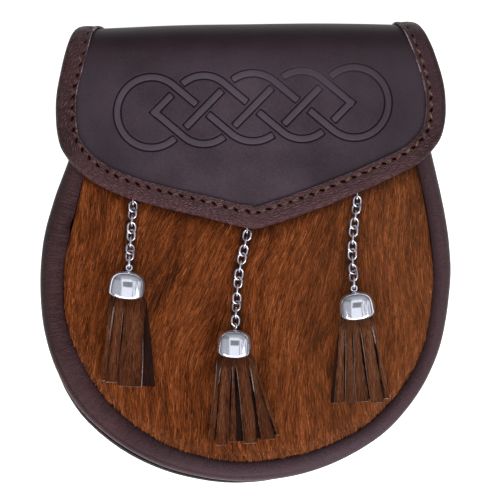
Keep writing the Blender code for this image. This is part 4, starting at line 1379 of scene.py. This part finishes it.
def make_rim_roll():
    path = body_path(ROLL_GRID[0])
    normals = side_normals(path)
    section = smooth_rows(ROLL_SECTION, ROLL_GRID[1])
    run = lengths_along(path)
    base = seam_height(path[:, 1]) + GAP
    inward = section[None, :, 0] * path[:, 2:3]
    height = section[None, :, 1] * ROLL_HEIGHT * np.ones_like(inward)
    # swelling, fine cross puckers on the inner shoulder, and one deep tuck high on the left
    around = np.linspace(0.0, 1.0, ROLL_GRID[1])[None, :]
    shoulder = np.exp(-((around - 0.66) / 0.2) ** 2)
    pucker = layered_noise(run[:, None] + 3.0 * around, around * 8.0, 2.1, 5.0, 41)
    strength = 0.35 + 0.65 * smooth_step(0.5 + value_noise(run, run * 0, 38.0, 9.0, 43))[:, None]
    swell = ROLL_SWELL * layered_noise(run[:, None], around * 6.0, 26.0, 5.0, 47)
    tuck_y, tuck_half, tuck_depth = ROLL_TUCK
    tuck = np.exp(-((path[:, 1:2] - tuck_y) / tuck_half) ** 2) * (path[:, :1] < 0)
    tuck = tuck * np.exp(-((around - 0.8) / 0.16) ** 2)
    near_y, near_half = ROLL_DRAWN
    near_tuck = np.exp(-((path[:, 1:2] - near_y) / near_half) ** 2) * (path[:, :1] < 0)
    relief = swell + ROLL_PUCKER * pucker * shoulder * (strength + 1.2 * near_tuck) - tuck_depth * tuck
    # a shallow crease runs along the outer face on the lower left
    crease_in, crease_half, crease_depth = ROLL_CREASE
    low_left = smooth_step((-30.0 - path[:, 1:2]) / 20.0) * smooth_step((30.0 - path[:, :1]) / 30.0)
    crease = low_left * np.exp(-((inward - crease_in) / crease_half) ** 2) * (around < 0.6)
    relief = relief - crease_depth * crease
    lift = np.clip(np.minimum(around, 1.0 - around) * 8.0, 0.0, 1.0)
    out = unit(np.array([section[:, 0] - 0.5, 1.4 * (section[:, 1] - 0.35)]).T)
    inward = inward + relief * lift * out[None, :, 0]
    height = height + relief * lift * out[None, :, 1]
    flat = path[:, None, :2] - normals[:, None] * inward[..., None]
    sections = np.concatenate([flat, (base[:, None] + height)[..., None]], axis=2)
    points, faces = tube(sections, flip=True)
    uv = np.stack(np.broadcast_arrays(run[:, None] * 1.0, around * 24.0), axis=-1).reshape(-1, 2)
    drawn = 0.25 + 0.75 * shoulder * strength + 0.6 * near_tuck * shoulder
    # painted shade on the roll's outward face away from the lower left, and in the crease there
    outer = (1.0 - smooth_step((around - 0.26) / 0.26)) * (1.0 - low_left) + 0.6 * crease
    roll = piece("rim_roll", points, faces, "trim_leather", "trim_leather", ["rim_roll"], uv=uv,
                 values={"pucker": drawn, "outer": outer})
    return roll


def make_gusset():
    path = body_path(GUSSET_GRID[0])
    normals = side_normals(path)
    run = lengths_along(path)
    swell = np.array(GUSSET_SWELL)
    shares = np.linspace(0.0, 1.0, GUSSET_GRID[1])
    bulge = np.interp(shares, swell[:, 0], swell[:, 1])
    low = BACK_THICK + GAP
    high = seam_height(path[:, 1])
    offset = -GUSSET_INSET + bulge[None] * (path[:, 3:4] + GUSSET_INSET)
    # soft upright folds where the wall is drawn round the bottom
    bend = smooth_step((-20.0 - path[:, 1:2]) / 60.0)
    folds = layered_noise(run[:, None] + 4.0 * shares, shares * 6.0, 7.0, 7.0, 53)
    belly = np.sin(math.pi * shares)
    offset = offset + (0.12 + 0.16 * bend) * folds * belly - 0.25 * belly**8
    z = low + (high - low)[:, None] * shares

    def wall(shift):
        flat = path[:, None, :2] + normals[:, None] * (offset + shift)[..., None]
        return np.concatenate([flat, z[..., None]], axis=2)
    outer, inner = wall(0.0), wall(-GUSSET_THICK)
    points, faces, _ = closed_sheet(inner, outer)
    uv = with_low(np.stack(np.broadcast_arrays(run[:, None], shares * 20.0), axis=-1))
    return piece("gusset", points, faces, "side_leather", "body_leather", ["gusset"], uv=uv)


def dished_points(outline, rings, height):
    """Points of rings shrunk towards the outline's middle, with their share of the way out."""
    centre = outline.mean(axis=0)
    count = len(outline)
    flat = np.vstack([centre[None]] + [centre + (outline - centre) * ring for ring in rings])
    shares = np.concatenate([[0.0], np.repeat(rings, count)])
    return flat, shares, height(flat[:, 0], flat[:, 1], shares)


def dished_faces(rings, count, start=0, flip=False):
    fan = [(start, start + 1 + (i + 1) % count, start + 1 + i) for i in range(count)]
    fan = fan if flip else [face[::-1] for face in fan]
    return fan + grid_faces(rings, count, start + 1, closed=True, flip=not flip)


def dished_solid(outline, rings, top_height, bottom_height):
    """A closed panel between two heights over the same rings."""
    count = len(outline)
    flat, shares, top = dished_points(outline, rings, top_height)
    bottom = bottom_height(flat[:, 0], flat[:, 1], shares)
    points = np.vstack([np.column_stack([flat, top]), np.column_stack([flat, bottom])])
    start = len(flat)
    faces = dished_faces(len(rings), count) + dished_faces(len(rings), count, start, flip=True)
    edge = 1 + (len(rings) - 1) * count
    for i in range(count):
        a, b = edge + i, edge + (i + 1) % count
        faces.append((a, start + a, start + b, b))
    return points, faces


# ---- hair ------------------------------------------------------------------
def hem_y(x):
    hem = np.array(FLAP_HEM)
    return np.interp(x, hem[:, 0], hem[:, 1])


def hair_lean(x, y):
    """How far the hair leans off straight down, in radians; negative carries the tips to the left."""
    # far from every listed place it leans a little to the left
    total = np.full(np.shape(x), -4.0 * 0.05)
    weight = np.full(np.shape(x), 0.05)
    for at_x, at_y, lean, reach in HAIR_LIE:
        near = np.exp(-((x - at_x) ** 2 + (y - at_y) ** 2) / (reach * reach))
        total = total + lean * near
        weight = weight + near
    waver, length = LAY_WAVER
    return np.radians(total / weight) + waver * value_noise(x, y, length, length, 61)


def comb_back(x, y):
    """Follow the lay up to the mouth: the place met there and the way travelled."""
    x, y = np.array(x, float), np.array(y, float)
    travelled = np.zeros_like(x)
    steps, step = COMB
    for _ in range(steps):
        moving = y < MOUTH_Y
        lean = hair_lean(x, y)
        x = x - moving * step * np.sin(lean)
        y = y + moving * step * np.cos(lean)
        travelled = travelled + moving * step
    over = y - MOUTH_Y
    return x, travelled - over


def hair_tone(u, v):
    """Broad bands, streaks and single locks of the coat, 0 dark to 1 light."""
    broad = layered_noise(u, v, 9.0, 48.0, 71, 2)
    streak = layered_noise(u, v, 2.2, 20.0, 75, 2)
    lock = value_noise(u, v, 0.55, 12.0, 79)
    return 0.55 + 0.0002 * u + 0.09 * broad + 0.12 * streak + 0.2 * lock


def make_hide():
    path = body_path(200)
    outline = closed_outline(path, (path[:, 2] + GAP)[:, None], HIDE_TOP_Y)
    rings = np.linspace(0.0, 1.0, 32)[1:]

    def skin(x, y, _share):
        return hide_top(x, y) - SKIN_DEEP + 0.12 * layered_noise(x, y, 5.0, 9.0, 67)

    def under(x, y, _share):
        return hide_top(x, y) - HIDE_THICK
    points, faces = dished_solid(outline, rings, skin, under)
    u, v = comb_back(points[:, 0], points[:, 1])
    values = {"tone": 0.85 * hair_tone(u, v) - 0.08}
    return piece("hide_front", points, faces, "hide_coat", "hair_hide", ["hide_front"],
                 uv=np.column_stack([u, v]), values=values)


def inside_outline(x, y, outline):
    """Whether points lie in a closed outline."""
    inside = np.zeros(np.shape(x), bool)
    for (x0, y0), (x1, y1) in zip(outline, np.roll(outline, -1, axis=0)):
        crosses = (y0 > y) != (y1 > y)
        at = x0 + (y - y0) / (y1 - y0 + 1e-12) * (x1 - x0)
        inside ^= crosses & (x < at)
    return inside


def hair_blades(root, middle, tip, up, width, roll):
    """Points and faces of many hairs, each a closed three-sided blade bent at its middle."""
    side = np.cross(tip - root, up)
    side = side / (np.linalg.norm(side, axis=1)[:, None] + 1e-9)
    half = 0.5 * width[:, None] * (side + up * roll[:, None])
    crest = 0.45 * width[:, None] * up
    points = np.stack([root, middle - half, middle + crest, middle + half, tip], axis=1).reshape(-1, 3)
    one = np.array([(0, 2, 1), (0, 3, 2), (0, 1, 3), (4, 1, 2), (4, 2, 3), (4, 3, 1)])
    faces = one[None] + 5 * np.arange(len(root))[:, None, None]
    return points, faces.reshape(-1, 3).tolist()


def blade_tones(tone):
    """A hair's tone at its root, its three middle points and its tip."""
    return (tone[:, None] + np.array([-0.14, 0.0, 0.0, 0.0, 0.08])).ravel()


def chain_shade(x, y):
    """How much painted shadow darkens the coat close to the chains, 0 to 1."""
    nearest = np.full(np.shape(x), 99.0)
    for key in CHAINS:
        for place_x, place_y in chain_route(key)[0][::8, :2]:
            nearest = np.minimum(nearest, np.hypot(x - place_x, y - place_y))
    return np.exp(-(nearest / CHAIN_SHADE) ** 4)


def hem_shade(x, y):
    """How much painted shadow darkens the coat close below the flap's hem, 0 to 1."""
    return np.exp(-np.maximum(hem_y(x) - y, 0.0) / HEM_SHADE)


def make_hair(part):
    """Lying hairs over one part of the hide, following the lay."""
    x_low, x_high, seed = HAIR_PARTS[part]
    draw = np.random.default_rng(seed)
    border_path = body_path(120)
    edge = closed_outline(border_path, (border_path[:, 2] + 0.1)[:, None], 60.0, 10)
    roots = np.zeros((0, 2))
    while len(roots) < HAIR_COUNT:
        x = draw.uniform(x_low, x_high, HAIR_DRAWN)
        y = draw.uniform(*HAIR_Y, HAIR_DRAWN)
        shown = inside_outline(x, y, edge) & (y < hem_y(x) + HAIR_UNDER)
        roots = np.vstack([roots, np.column_stack([x, y])[shown]])
    path = [roots[:HAIR_COUNT]]
    length = draw.uniform(*HAIR_LENGTH, HAIR_COUNT)
    stray = draw.normal(0.0, math.radians(HAIR_STRAY), HAIR_COUNT)
    bend = draw.normal(0.0, math.radians(HAIR_BEND), HAIR_COUNT)
    for turn in (-0.5, 0.5):
        x, y = path[-1].T
        lean = hair_lean(x, y) + stray + bend * turn
        path.append(path[-1] + 0.5 * length[:, None] * np.column_stack([np.sin(lean), -np.cos(lean)]))
    keep = inside_outline(*path[1].T, edge)
    root, middle, tip = (place[keep] for place in path)
    beyond = ~inside_outline(*tip.T, edge)
    tip[beyond] = middle[beyond] * 0.9 + tip[beyond] * 0.1
    lift = draw.uniform(0.0, HAIR_LIFT, len(root))
    up = np.tile([0.0, 0.0, 1.0], (len(root), 1))
    heights = ((root, -SKIN_DEEP - 0.1), (middle, lift - 0.4), (tip, 0.75 * lift - 0.5))
    raised = [np.column_stack([place, hide_top(*place.T) + height]) for place, height in heights]
    width = draw.uniform(*HAIR_WIDTH, len(root))
    points, faces = hair_blades(*raised, up, width, draw.normal(0.0, 0.3, len(root)))
    u, v = comb_back(*root.T)
    # painted shadow beside the chains and below the hem
    tone = hair_tone(u, v) + draw.normal(0.0, 0.15, len(root)) - 0.3 * chain_shade(*middle.T)
    tone = tone - 0.4 * hem_shade(*middle.T)
    values = {"tone": blade_tones(tone)}
    return piece(f"hide_hair_{part}", points, faces, "hair", "hair_hide", values=values, sharp=80.0)


# ---- chains, caps and tassels ----------------------------------------------
def cap_axis_height(eye, lean):
    under = [(eye[0] + down * math.sin(lean), eye[1] - down * math.cos(lean)) for down in CAP_REST]
    return max(float(hide_top(x, y)) for x, y in under) + CAP_RADIUS + GAP


def chain_route(key):
    """A chain's middle line from its first link's centre to its cap's eye, and the way along it."""
    _, _, first, middle, eye = CHAINS[key]
    route = smooth_rows([first, middle, eye], 200)
    along = lengths_along(route)
    height = CHAIN_LOW + (CHAIN_HIGH - CHAIN_LOW) * smooth_step(along / CHAIN_SETTLE)
    climb = smooth_step((along - along[-1] + CHAIN_CLIMB) / CHAIN_CLIMB)
    ground = hide_top(route[:, 0], route[:, 1])
    top = cap_axis_height(eye, math.radians(CAP_LEAN[key]))
    route = np.column_stack([route, (ground + height) * (1 - climb) + top * climb])
    return route, lengths_along(route, 3)


def frame_matrix(origin, y_axis, roll):
    """A placement with local Y along y_axis, turned about it from lying flat by roll degrees."""
    y_axis = Vector(y_axis).normalized()
    x_axis = y_axis.cross(Vector((0, 0, 1))).normalized()
    z_axis = x_axis.cross(y_axis)
    turn = Matrix((x_axis, y_axis, z_axis)).transposed().to_4x4()
    return Matrix.Translation(Vector(origin)) @ turn @ Matrix.Rotation(math.radians(roll), 4, "Y")


def carried(matrix, points):
    """Points carried by a placement in millimetres."""
    matrix = np.array(matrix)
    return np.asarray(points) @ matrix[:3, :3].T + matrix[:3, 3]


def make_chain(key):
    count, first_turn = CHAINS[key][:2]
    route, along = chain_route(key)
    radius = 0.5 * (LINK_WIDTH - WIRE)
    straight = 0.5 * (LINK_LENGTH - LINK_WIDTH)
    around, sides = WIRE_GRID
    angles = 2 * math.pi * (np.arange(around) + 0.5) / around
    y = radius * np.sin(angles) + straight * np.sign(np.sin(angles))
    middle = np.column_stack([radius * np.cos(angles), y, 0 * angles])
    sections = wire_sections(middle, 0.5 * LINK_WIRE, sides, True).reshape(-1, 3)
    faces = ring_faces(around, sides)
    for number, distance in enumerate(np.linspace(0.0, along[-1] - EYE_REACH, count)):
        here, ahead = read_path(route, along, [distance, distance + 1.0])
        matrix = frame_matrix(here, ahead - here, first_turn + LINK_TWIST * number)
        name = f"{key}_link_{number + 1:02d}"
        piece(f"{name}_ring", carried(matrix, sections), faces, "chrome", "chrome", [name])


def make_staple(key):
    x, y = CHAINS[key][2]
    feet = (y + STAPLE_FEET[0], y + STAPLE_FEET[1])
    bridge = float(hide_top(x, sum(feet) / 2)) + STAPLE_RISE
    path = []
    for foot, inward in zip(feet, (1, -1)):
        ground = float(hide_top(x, foot)) - 1.0
        side = [(x, foot, ground), (x, foot, 0.5 * (ground + bridge))]
        for a in np.radians(np.linspace(0, 90, 7)):
            over = STAPLE_BEND * inward * (1 - math.cos(a))
            side.append((x, foot + over, bridge - STAPLE_BEND * (1 - math.sin(a))))
        path += side if inward > 0 else side[::-1]
    points, faces = tube(wire_sections(path, 0.5 * WIRE, WIRE_GRID[1], False), flip=True)
    piece(f"{key}_staple_wire", points, faces, "chrome", "chrome", [f"{key}_staple"])


def cap_frame(key):
    """A cap's placement, its origin at its top and its local +Z out of the top."""
    lean = math.radians(CAP_LEAN[key])
    eye = CHAINS[key][4]
    upward = Vector((-math.sin(lean), math.cos(lean), 0.0))
    side = Vector((math.cos(lean), math.sin(lean), 0.0))
    depth = side.cross(upward)
    turn = Matrix((side, -depth, upward)).transposed().to_4x4()
    origin = Vector((*eye, cap_axis_height(eye, lean))) - upward * EYE_RISE
    return origin, upward, Matrix.Translation(origin) @ turn


def squared(wave):
    """A sine or cosine of a squarish oval."""
    return np.sign(wave) * np.abs(wave) ** (2.0 / CAP_SQUARE)


def make_cap(key):
    _, _, matrix = cap_frame(key)
    to_eye = Matrix.Translation((0, 0, EYE_RISE))
    askew = Matrix.Rotation(math.radians(-CAP_ASKEW[key]), 4, "Y")
    matrix = matrix @ to_eye @ askew @ to_eye.inverted()
    rows, sides = CAP_GRID
    profile = smooth_rows(CAP_PROFILE, rows)
    radius, below = profile[1:-1].T
    belly = CAP_BELLY * np.sin(math.pi * np.clip(below / CAP_LENGTH, 0.0, 1.0)) ** 2
    angles = 2 * math.pi * np.arange(sides) / sides
    across, deep = squared(np.cos(angles)), squared(np.sin(angles))
    deep = np.where(deep < 0.0, CAP_FRONT, 1.0) * deep
    rings = np.stack([
        np.outer(radius, across * CAP_WIDE[key]), np.outer(radius + belly, deep),
        np.outer(-below, 1.0 - CAP_LIP * np.abs(across) ** 2.5)], axis=-1)
    points = rings.reshape(-1, 3)
    faces = grid_faces(len(rings), sides, closed=True, flip=True)
    top, bottom = len(points), len(points) + 1
    points = np.vstack([points, [[0, 0, -profile[0, 1]], [0, 0, -profile[-1, 1]]]])
    last = (len(rings) - 1) * sides
    faces += [[top, i, (i + 1) % sides] for i in range(sides)]
    faces += [[bottom, last + (i + 1) % sides, last + i] for i in range(sides)]
    heap = Heap()
    heap.add(carried(matrix, points), faces)
    # the eye stands at right angles to the last link
    last_turn = CHAINS[key][1] + LINK_TWIST * (CHAINS[key][0] - 1)
    around = WIRE_GRID[0]
    angles = 2 * math.pi * np.arange(around) / around
    eye = (EYE_RADIUS - 1.5 * EYE_WIRE) * np.column_stack([np.cos(angles), np.sin(angles), 0 * angles])
    ring = wire_sections(eye, 0.85 * EYE_WIRE, EYE_SIDES, True)
    spin = Matrix.Rotation(math.radians(-90.0 - last_turn), 4, "Z")
    spin = spin @ Matrix.Rotation(math.radians(90), 4, "X")
    heap.add(carried(matrix @ to_eye @ spin, ring.reshape(-1, 3)), ring_faces(around, EYE_SIDES))
    return heap.piece(f"{key}_bell_cap", "chrome", "chrome", [f"{key}_cap"], sharp=40.0)


def tassel_strip(key, row, seed):
    """One strip's upper face as grids of places, normals and flat places: width across, length down."""
    top_left, top_right, end_left, end_right, length, end_height, face = row
    origin, upward, _ = cap_frame(key)
    side = np.array([upward.y, -upward.x, 0.0])
    down = -np.array(upward)
    mouth = np.array(origin) + down * CAP_LENGTH
    draw = np.random.default_rng(seed)
    t = np.linspace(-STRIP_HIDDEN, 1.0, STRIP_GRID[0])[:, None]
    across = np.linspace(0.0, 1.0, STRIP_GRID[1])[None, :]
    share = np.clip(t, 0.0, 1.0) ** 0.92
    left = top_left + (end_left - top_left) * share
    right = top_right + (end_right - top_right) * share
    # strips lap over each other where they are still one piece under the cap
    joined = 1.0 - smooth_step(t / 0.13)
    gape = smooth_step((t - 0.07) / 0.12) * (1.0 - 0.75 * smooth_step((t - 0.4) / 0.35))
    lap = STRIP_LAP * joined - (0.0 if face == "flesh" else SLIT) * gape
    squeeze = 1.0 - 0.14 * smooth_step(-t / STRIP_HIDDEN + 0.6)
    x = (left - lap + (right - left + 2 * lap) * across) * squeeze
    wave = draw.uniform(-0.35, 0.35) * np.sin(math.pi * share * 1.3 + draw.uniform(0, 3))
    x = x + wave * share
    # round the neck under the cap, then flatten to lie on the hide
    neck_half, neck_high = TASSEL_NECK
    neck = np.clip(1.0 - np.abs(x / neck_half) ** CAP_SQUARE, 0.02, 1.0) ** (1.0 / CAP_SQUARE)
    neck = neck_high * neck + 0.12 * (seed % 2) * joined
    behind = face == "flesh" and end_height < 1.0
    rise_top = -0.6 * np.ones_like(x) if behind else neck
    place = mouth + side * x[..., None] + down * (t * length)[..., None] * np.ones_like(x)[..., None]
    ground = hide_top(place[..., 0], place[..., 1]) - mouth[2]
    settle = smooth_step(np.clip(t, 0, 1) * 1.12)
    curl = -0.9 * share * (2 * across - 1) ** 2 * draw.uniform(0.5, 1.0)
    tilt = draw.uniform(-0.5, 0.5) * share * (2 * across - 1)
    rest = ground + GAP + STRIP_THICK + end_height + curl + tilt + 0.25 * np.sin(5 * share + seed)
    place[..., 2] = mouth[2] + rise_top * (1 - settle) + rest * settle
    along_x, along_y = np.gradient(place, axis=1), np.gradient(place, axis=0)
    normal = unit(np.cross(along_y, along_x))
    normal = np.where(normal[..., 2:] < 0, -normal, normal)
    flat = np.stack([x, t * length * np.ones_like(x)], axis=-1)
    place = place + normal * (0.05 * layered_noise(x * 3 + seed, t * length, 1.0, 6.0, seed))[..., None]
    # the underside reaches a little further than the face, so that the slanting cut shows
    under = place - normal * STRIP_THICK * (0.2 + 0.8 * normal[..., 2:] ** 4)
    slant = (1.0 - joined) * draw.uniform(0.8, 1.1) * (0.2 if face == "flesh" else 1.0)
    pale_right = PALE_SIDE[key] > 0
    under[:, 0] -= side * slant * CUT_SHOWN[0 if pale_right else 1] * normal[:, 0, 2:] ** 2
    under[:, -1] += side * slant * CUT_SHOWN[1 if pale_right else 0] * normal[:, -1, 2:] ** 2
    under[-1] += down * CUT_SHOWN[1] * draw.uniform(0.1, 0.7)
    return place, under, normal, flat


def read_grid(grid, row, column):
    """A grid's points at fractional rows and columns."""
    row = np.clip(row, 0.0, grid.shape[0] - 1.001)
    column = np.clip(column, 0.0, grid.shape[1] - 1.001)
    i, j = row.astype(int), column.astype(int)
    s, t = (row - i)[:, None], (column - j)[:, None]
    low = grid[i, j] * (1 - t) + grid[i, j + 1] * t
    high = grid[i + 1, j] * (1 - t) + grid[i + 1, j + 1] * t
    return low * (1 - s) + high * s


def strip_hairs(place, normal, flat, seed):
    """Hairs lying down a strip's face: their points, faces and tones."""
    draw = np.random.default_rng(seed)
    rows, columns = place.shape[:2]
    length = flat[-1, 0, 1] - flat[0, 0, 1]
    width = np.mean(flat[:, -1, 0] - flat[:, 0, 0])
    count = int(TASSEL_HAIRS * length * width)
    row = draw.uniform(0.0, rows - 3.0, count)
    column = draw.uniform(0.0, columns - 1.0, count)
    reach = draw.uniform(*TASSEL_HAIR_LENGTH, count) * (rows - 1) / length
    lean = draw.normal(0.0, 0.07, count) + 0.1 * math.sin(seed)
    drift = reach * lean * (columns - 1) / width * length / (rows - 1)
    up = read_grid(normal, row, column)
    lift = draw.uniform(0.05, 0.3, count)[:, None]
    root = read_grid(place, row, column) - up * 0.2
    middle = read_grid(place, row + 0.5 * reach, column + 0.5 * drift) + up * lift
    tip = read_grid(place, row + reach, column + drift) + up * lift * 0.6
    wide = draw.uniform(*TASSEL_HAIR_WIDTH, count)
    points, faces = hair_blades(root, middle, tip, up, wide, draw.normal(0.0, 0.3, count))
    u, v = read_grid(flat, row, column).T
    tone = 0.64 + 0.2 * layered_noise(u + seed, v, 2.2, 24.0, 97, 2) + draw.normal(0.0, 0.1, count)
    # painted shade towards its sides, where the strip curls away, and painted shadow close under the cap
    tone = tone - 0.2 * (2.0 * column / (columns - 1) - 1.0) ** 2 - 0.2 * smooth_step(1.0 - row / 5.0)
    return points, faces, blade_tones(tone)


def make_tassel(key):
    strips, hairs, tones = Heap(), Heap(), []
    for number, row in enumerate(TASSEL_STRIPS[key]):
        seed = 100 + 17 * number + len(key)
        place, under, normal, flat = tassel_strip(key, row, seed)
        points, faces, rim = closed_sheet(place[::-1], under[::-1])
        half = (len(faces) - rim) // 2
        shown, hidden, cut = (0, 1, 2) if row[-1] == "hair" else (1, 0, 1)
        choice = [shown] * half + [hidden] * half + [cut] * rim
        strips.add(points, faces, with_low(flat[::-1] + seed), choice)
        if row[-1] == "hair":
            points, faces, tone = strip_hairs(place, normal, flat, seed)
            hairs.add(points, faces)
            tones.append(tone)
    finishes = ["strip_hair", "strip_flesh", "cut_edge"]
    strips.piece(f"{key}_tassel_strips", finishes, "tassel_hide", [f"{key}_tassel"])
    values = {"tone": np.concatenate(tones)}
    return hairs.piece(f"{key}_tassel_hairs", "tassel_hair", "tassel_hide", values=values, sharp=80.0)


# ---- back ------------------------------------------------------------------
def back_inside(_x, _y, share):
    flat, rim = PUSH_RINGS
    return BACK_THICK + BACK_PUSH * (1.0 - smooth_step((share - flat) / (rim - flat)))


def stitch_under(heap, line, z, draw, **stitches):
    """Single stitches from place to place of a line on an underside."""
    points = np.column_stack([line, np.full(len(line), z)])
    down = np.tile([0.0, 0.0, -1.0], (len(line), 1))
    stitch_run(heap, points, down, draw, strands=(0.0,), **stitches)


def make_back():
    outline = closed_outline(body_path(220), BACK_INSET, MOUTH_Y)
    # rings stand close together where the push fades and by the stitched groove
    rings = np.concatenate([
        np.linspace(0.0, PUSH_RINGS[0], 10)[1:], np.linspace(*PUSH_RINGS, 9)[1:],
        [0.93, 0.938, 0.946, BACK_SEAM, 0.964, 0.972, 0.985, 1.0]])

    def outside(x, y, share):
        quilt = 0.12 * layered_noise(x, y, 24.0, 24.0, 83) * (1 - smooth_step((share - 0.55) / 0.3))
        groove = BACK_GROOVE * np.exp(-((share - BACK_SEAM) / 0.01) ** 2)
        return back_inside(x, y, share) - BACK_THICK + quilt + groove
    points, faces = dished_solid(outline, rings, back_inside, outside)
    piece("back_panel", points, faces, "body_leather", "body_leather", ["back_panel"], uv=points[:, :2])
    centre = outline.mean(axis=0)
    line = centre + (outline[:-MOUTH_POINTS] - centre) * BACK_SEAM
    holes = even_places(line, int(lengths_along(line)[-1] / STITCH_PITCH))
    heap = Heap()
    stitch_under(heap, holes, 0.8, np.random.default_rng(91), slant=4.0)
    heap.piece("back_stitches", "thread", "body_leather")


def make_loop(side):
    x = LOOP_X[side]
    path = smooth_rows(LOOP_PATH, LOOP_POINTS)
    tangent = unit(np.gradient(path, axis=0))
    normal = np.column_stack([-tangent[:, 1], tangent[:, 0]])
    across, round_off = np.array(LOOP_ROUND).T

    def face(sign):
        half = 0.5 * LOOP_THICK * round_off[None]
        y = path[:, 0, None] + sign * normal[:, 0, None] * half
        z = path[:, 1, None] + sign * normal[:, 1, None] * half
        xs = np.broadcast_to(x + 0.5 * LOOP_WIDTH * across[None], y.shape)
        return np.stack([xs, y, z], axis=-1)
    points, faces, _ = closed_sheet(face(1.0), face(-1.0))
    piece(f"strap_loop_{side}_leather", points, faces, "body_leather", "body_leather", [f"strap_loop_{side}"],
          uv=points[:, :2])
    heap = Heap()
    draw = np.random.default_rng(95)
    from_side, from_end, from_bend = LOOP_STITCH_IN
    wide = 0.5 * LOOP_WIDTH - from_side
    z = LOOP_PATH[0][1] - 0.5 * LOOP_THICK + 0.05
    boxes = (
        (LOOP_PATH[0][0] + from_end, LOOP_PATH[1][0] - from_bend),
        (LOOP_PATH[-2][0] + from_bend, LOOP_PATH[-1][0] - from_end))
    for low, high in boxes:
        # round the box, then its two diagonals
        corners = [(x - wide, low), (x + wide, low), (x + wide, high), (x - wide, high), (x - wide, low)]
        corners += [(x + wide, high), (x + wide, low), (x - wide, high)]
        for start, end in zip(corners[:-1], corners[1:]):
            count = max(2, int(math.dist(start, end) / 3.0) + 1)
            stitch_under(heap, np.linspace(start, end, count), z, draw, span=2.5, slant=0.0)
    heap.piece(f"strap_loop_{side}_stitches", "thread", "body_leather")


# ---- stage -----------------------------------------------------------------
CAMERA_HEIGHT = 1250.0
CAMERA_AIM = (2.0, 0.75)        # over this place, straight down
CAMERA_LENS = 200.0
SENSOR = 36.0
FLOOR_SIZE = 6000.0

LIGHTS = {
    # place, size, power in watts
    "softbox_left": ((-800.0, -950.0, 1250.0), (900.0, 700.0), 9.6),
    "softbox_right": ((850.0, -850.0, 1300.0), (1000.0, 800.0), 14.8),
    "softbox_low": ((0.0, -1300.0, 1450.0), (1600.0, 800.0), 7.2),
}
SKY_LOW, SKY_HIGH = 0.22, 1.18  # the sky's strength near the floor and overhead
SKY_BEHIND = 0.48               # share left of it beyond the pouch's top, so that the fold stays dark
SKY_SIDES = (0.6, 0.6)          # shares by which it is darker to the left, and in streaks to the right
SKY_PANELS = [
    # What the caps mirror: middle and half sizes as x and y parts of the way there, and strength.
    (0.0, 0.1, 0.19, 0.62, 1.2),
    (0.02, 0.18, 0.16, 0.27, 0.17),
    (0.2, 0.0, 0.02, 0.5, 0.05),
]


def make_floor():
    floor_mesh = bpy.data.meshes.new("floor")
    half = 0.5 * FLOOR_SIZE * MM
    corners = [(-half, -half, 0), (half, -half, 0), (half, half, 0), (-half, half, 0)]
    floor_mesh.from_pydata(corners, [], [(0, 1, 2, 3)])
    paper = Finish("paper", {
        "Roughness": 0.9, "Specular IOR Level": 0.1, "Base Color": (0.75, 0.75, 0.75, 1.0),
        "Emission Color": (1.0, 1.0, 1.0, 1.0), "Emission Strength": 0.85})
    floor_mesh.materials.append(paper.material)
    floor = add_object("floor", floor_mesh)
    floor.location.z = -0.2 * MM


def make_lights():
    target = Vector((0.0, 0.0, 30.0))
    for name, (place, size, power) in LIGHTS.items():
        data = bpy.data.lights.new(name, "AREA")
        data.shape = "RECTANGLE"
        data.size, data.size_y = size[0] * MM, size[1] * MM
        data.energy = power
        light = add_object(name, data)
        light.location = Vector(place) * MM
        light.rotation_euler = (target - Vector(place)).to_track_quat("-Z", "Y").to_euler()


def make_sky():
    world = bpy.data.worlds.new("studio")
    world.use_nodes = True
    sky = Nodes(world.node_tree)
    way = sky.node("ShaderNodeTexCoord", output="Generated")
    x, y, z = (sky.part(way, axis) for axis in "XYZ")
    strength = z.step(0.05, 0.75) * (SKY_HIGH - SKY_LOW) + SKY_LOW
    strength = strength * (1.0 - y.step(0.4, 0.6) * (1.0 - SKY_BEHIND))
    beside = 1.0 - y.size().step(0.7, 0.9)
    streaks = sky.noise(sky.stretch(way, 9.0, 2.0, 2.0), 1.0, 2.0).step(0.35, 0.65)
    strength = strength * (1.0 - beside * (-x).step(0.16, 0.22) * SKY_SIDES[0])
    strength = strength * (1.0 - beside * x.step(0.25, 0.35) * streaks * SKY_SIDES[1])
    for middle_x, middle_y, half_x, half_y, level in SKY_PANELS:
        across = 1.0 - (x - middle_x).size().step(0.75 * half_x, half_x)
        along = 1.0 - (y - middle_y).size().step(0.75 * half_y, half_y)
        share = across * along * z.step(0.0, 0.1)
        strength = strength * (1.0 - share) + share * level
    background = world.node_tree.nodes["Background"]
    background.inputs["Color"].default_value = (0.97, 0.98, 1.0, 1.0)
    sky.feed(background.inputs["Strength"], strength)
    bpy.context.scene.world = world


def make_camera():
    lens = bpy.data.cameras.new("camera")
    lens.lens = CAMERA_LENS
    lens.sensor_width = SENSOR
    lens.clip_end = 20.0
    camera = add_object("camera", lens)
    camera.location = Vector((*CAMERA_AIM, CAMERA_HEIGHT)) * MM
    bpy.context.scene.camera = camera
    bpy.context.scene.view_settings.view_transform = "Standard"


make_floor()
make_lights()
make_sky()
make_camera()
make_back()
make_gusset()
make_rim_roll()
make_hide()
for PART in HAIR_PARTS:
    make_hair(PART)
make_flap()
make_binding()
make_binding_stitches()
for SIDE in LOOP_X:
    make_loop(SIDE)
for KEY in CHAINS:
    make_chain(KEY)
    make_staple(KEY)
    make_cap(KEY)
    make_tassel(KEY)

bpy.context.view_layer.update()
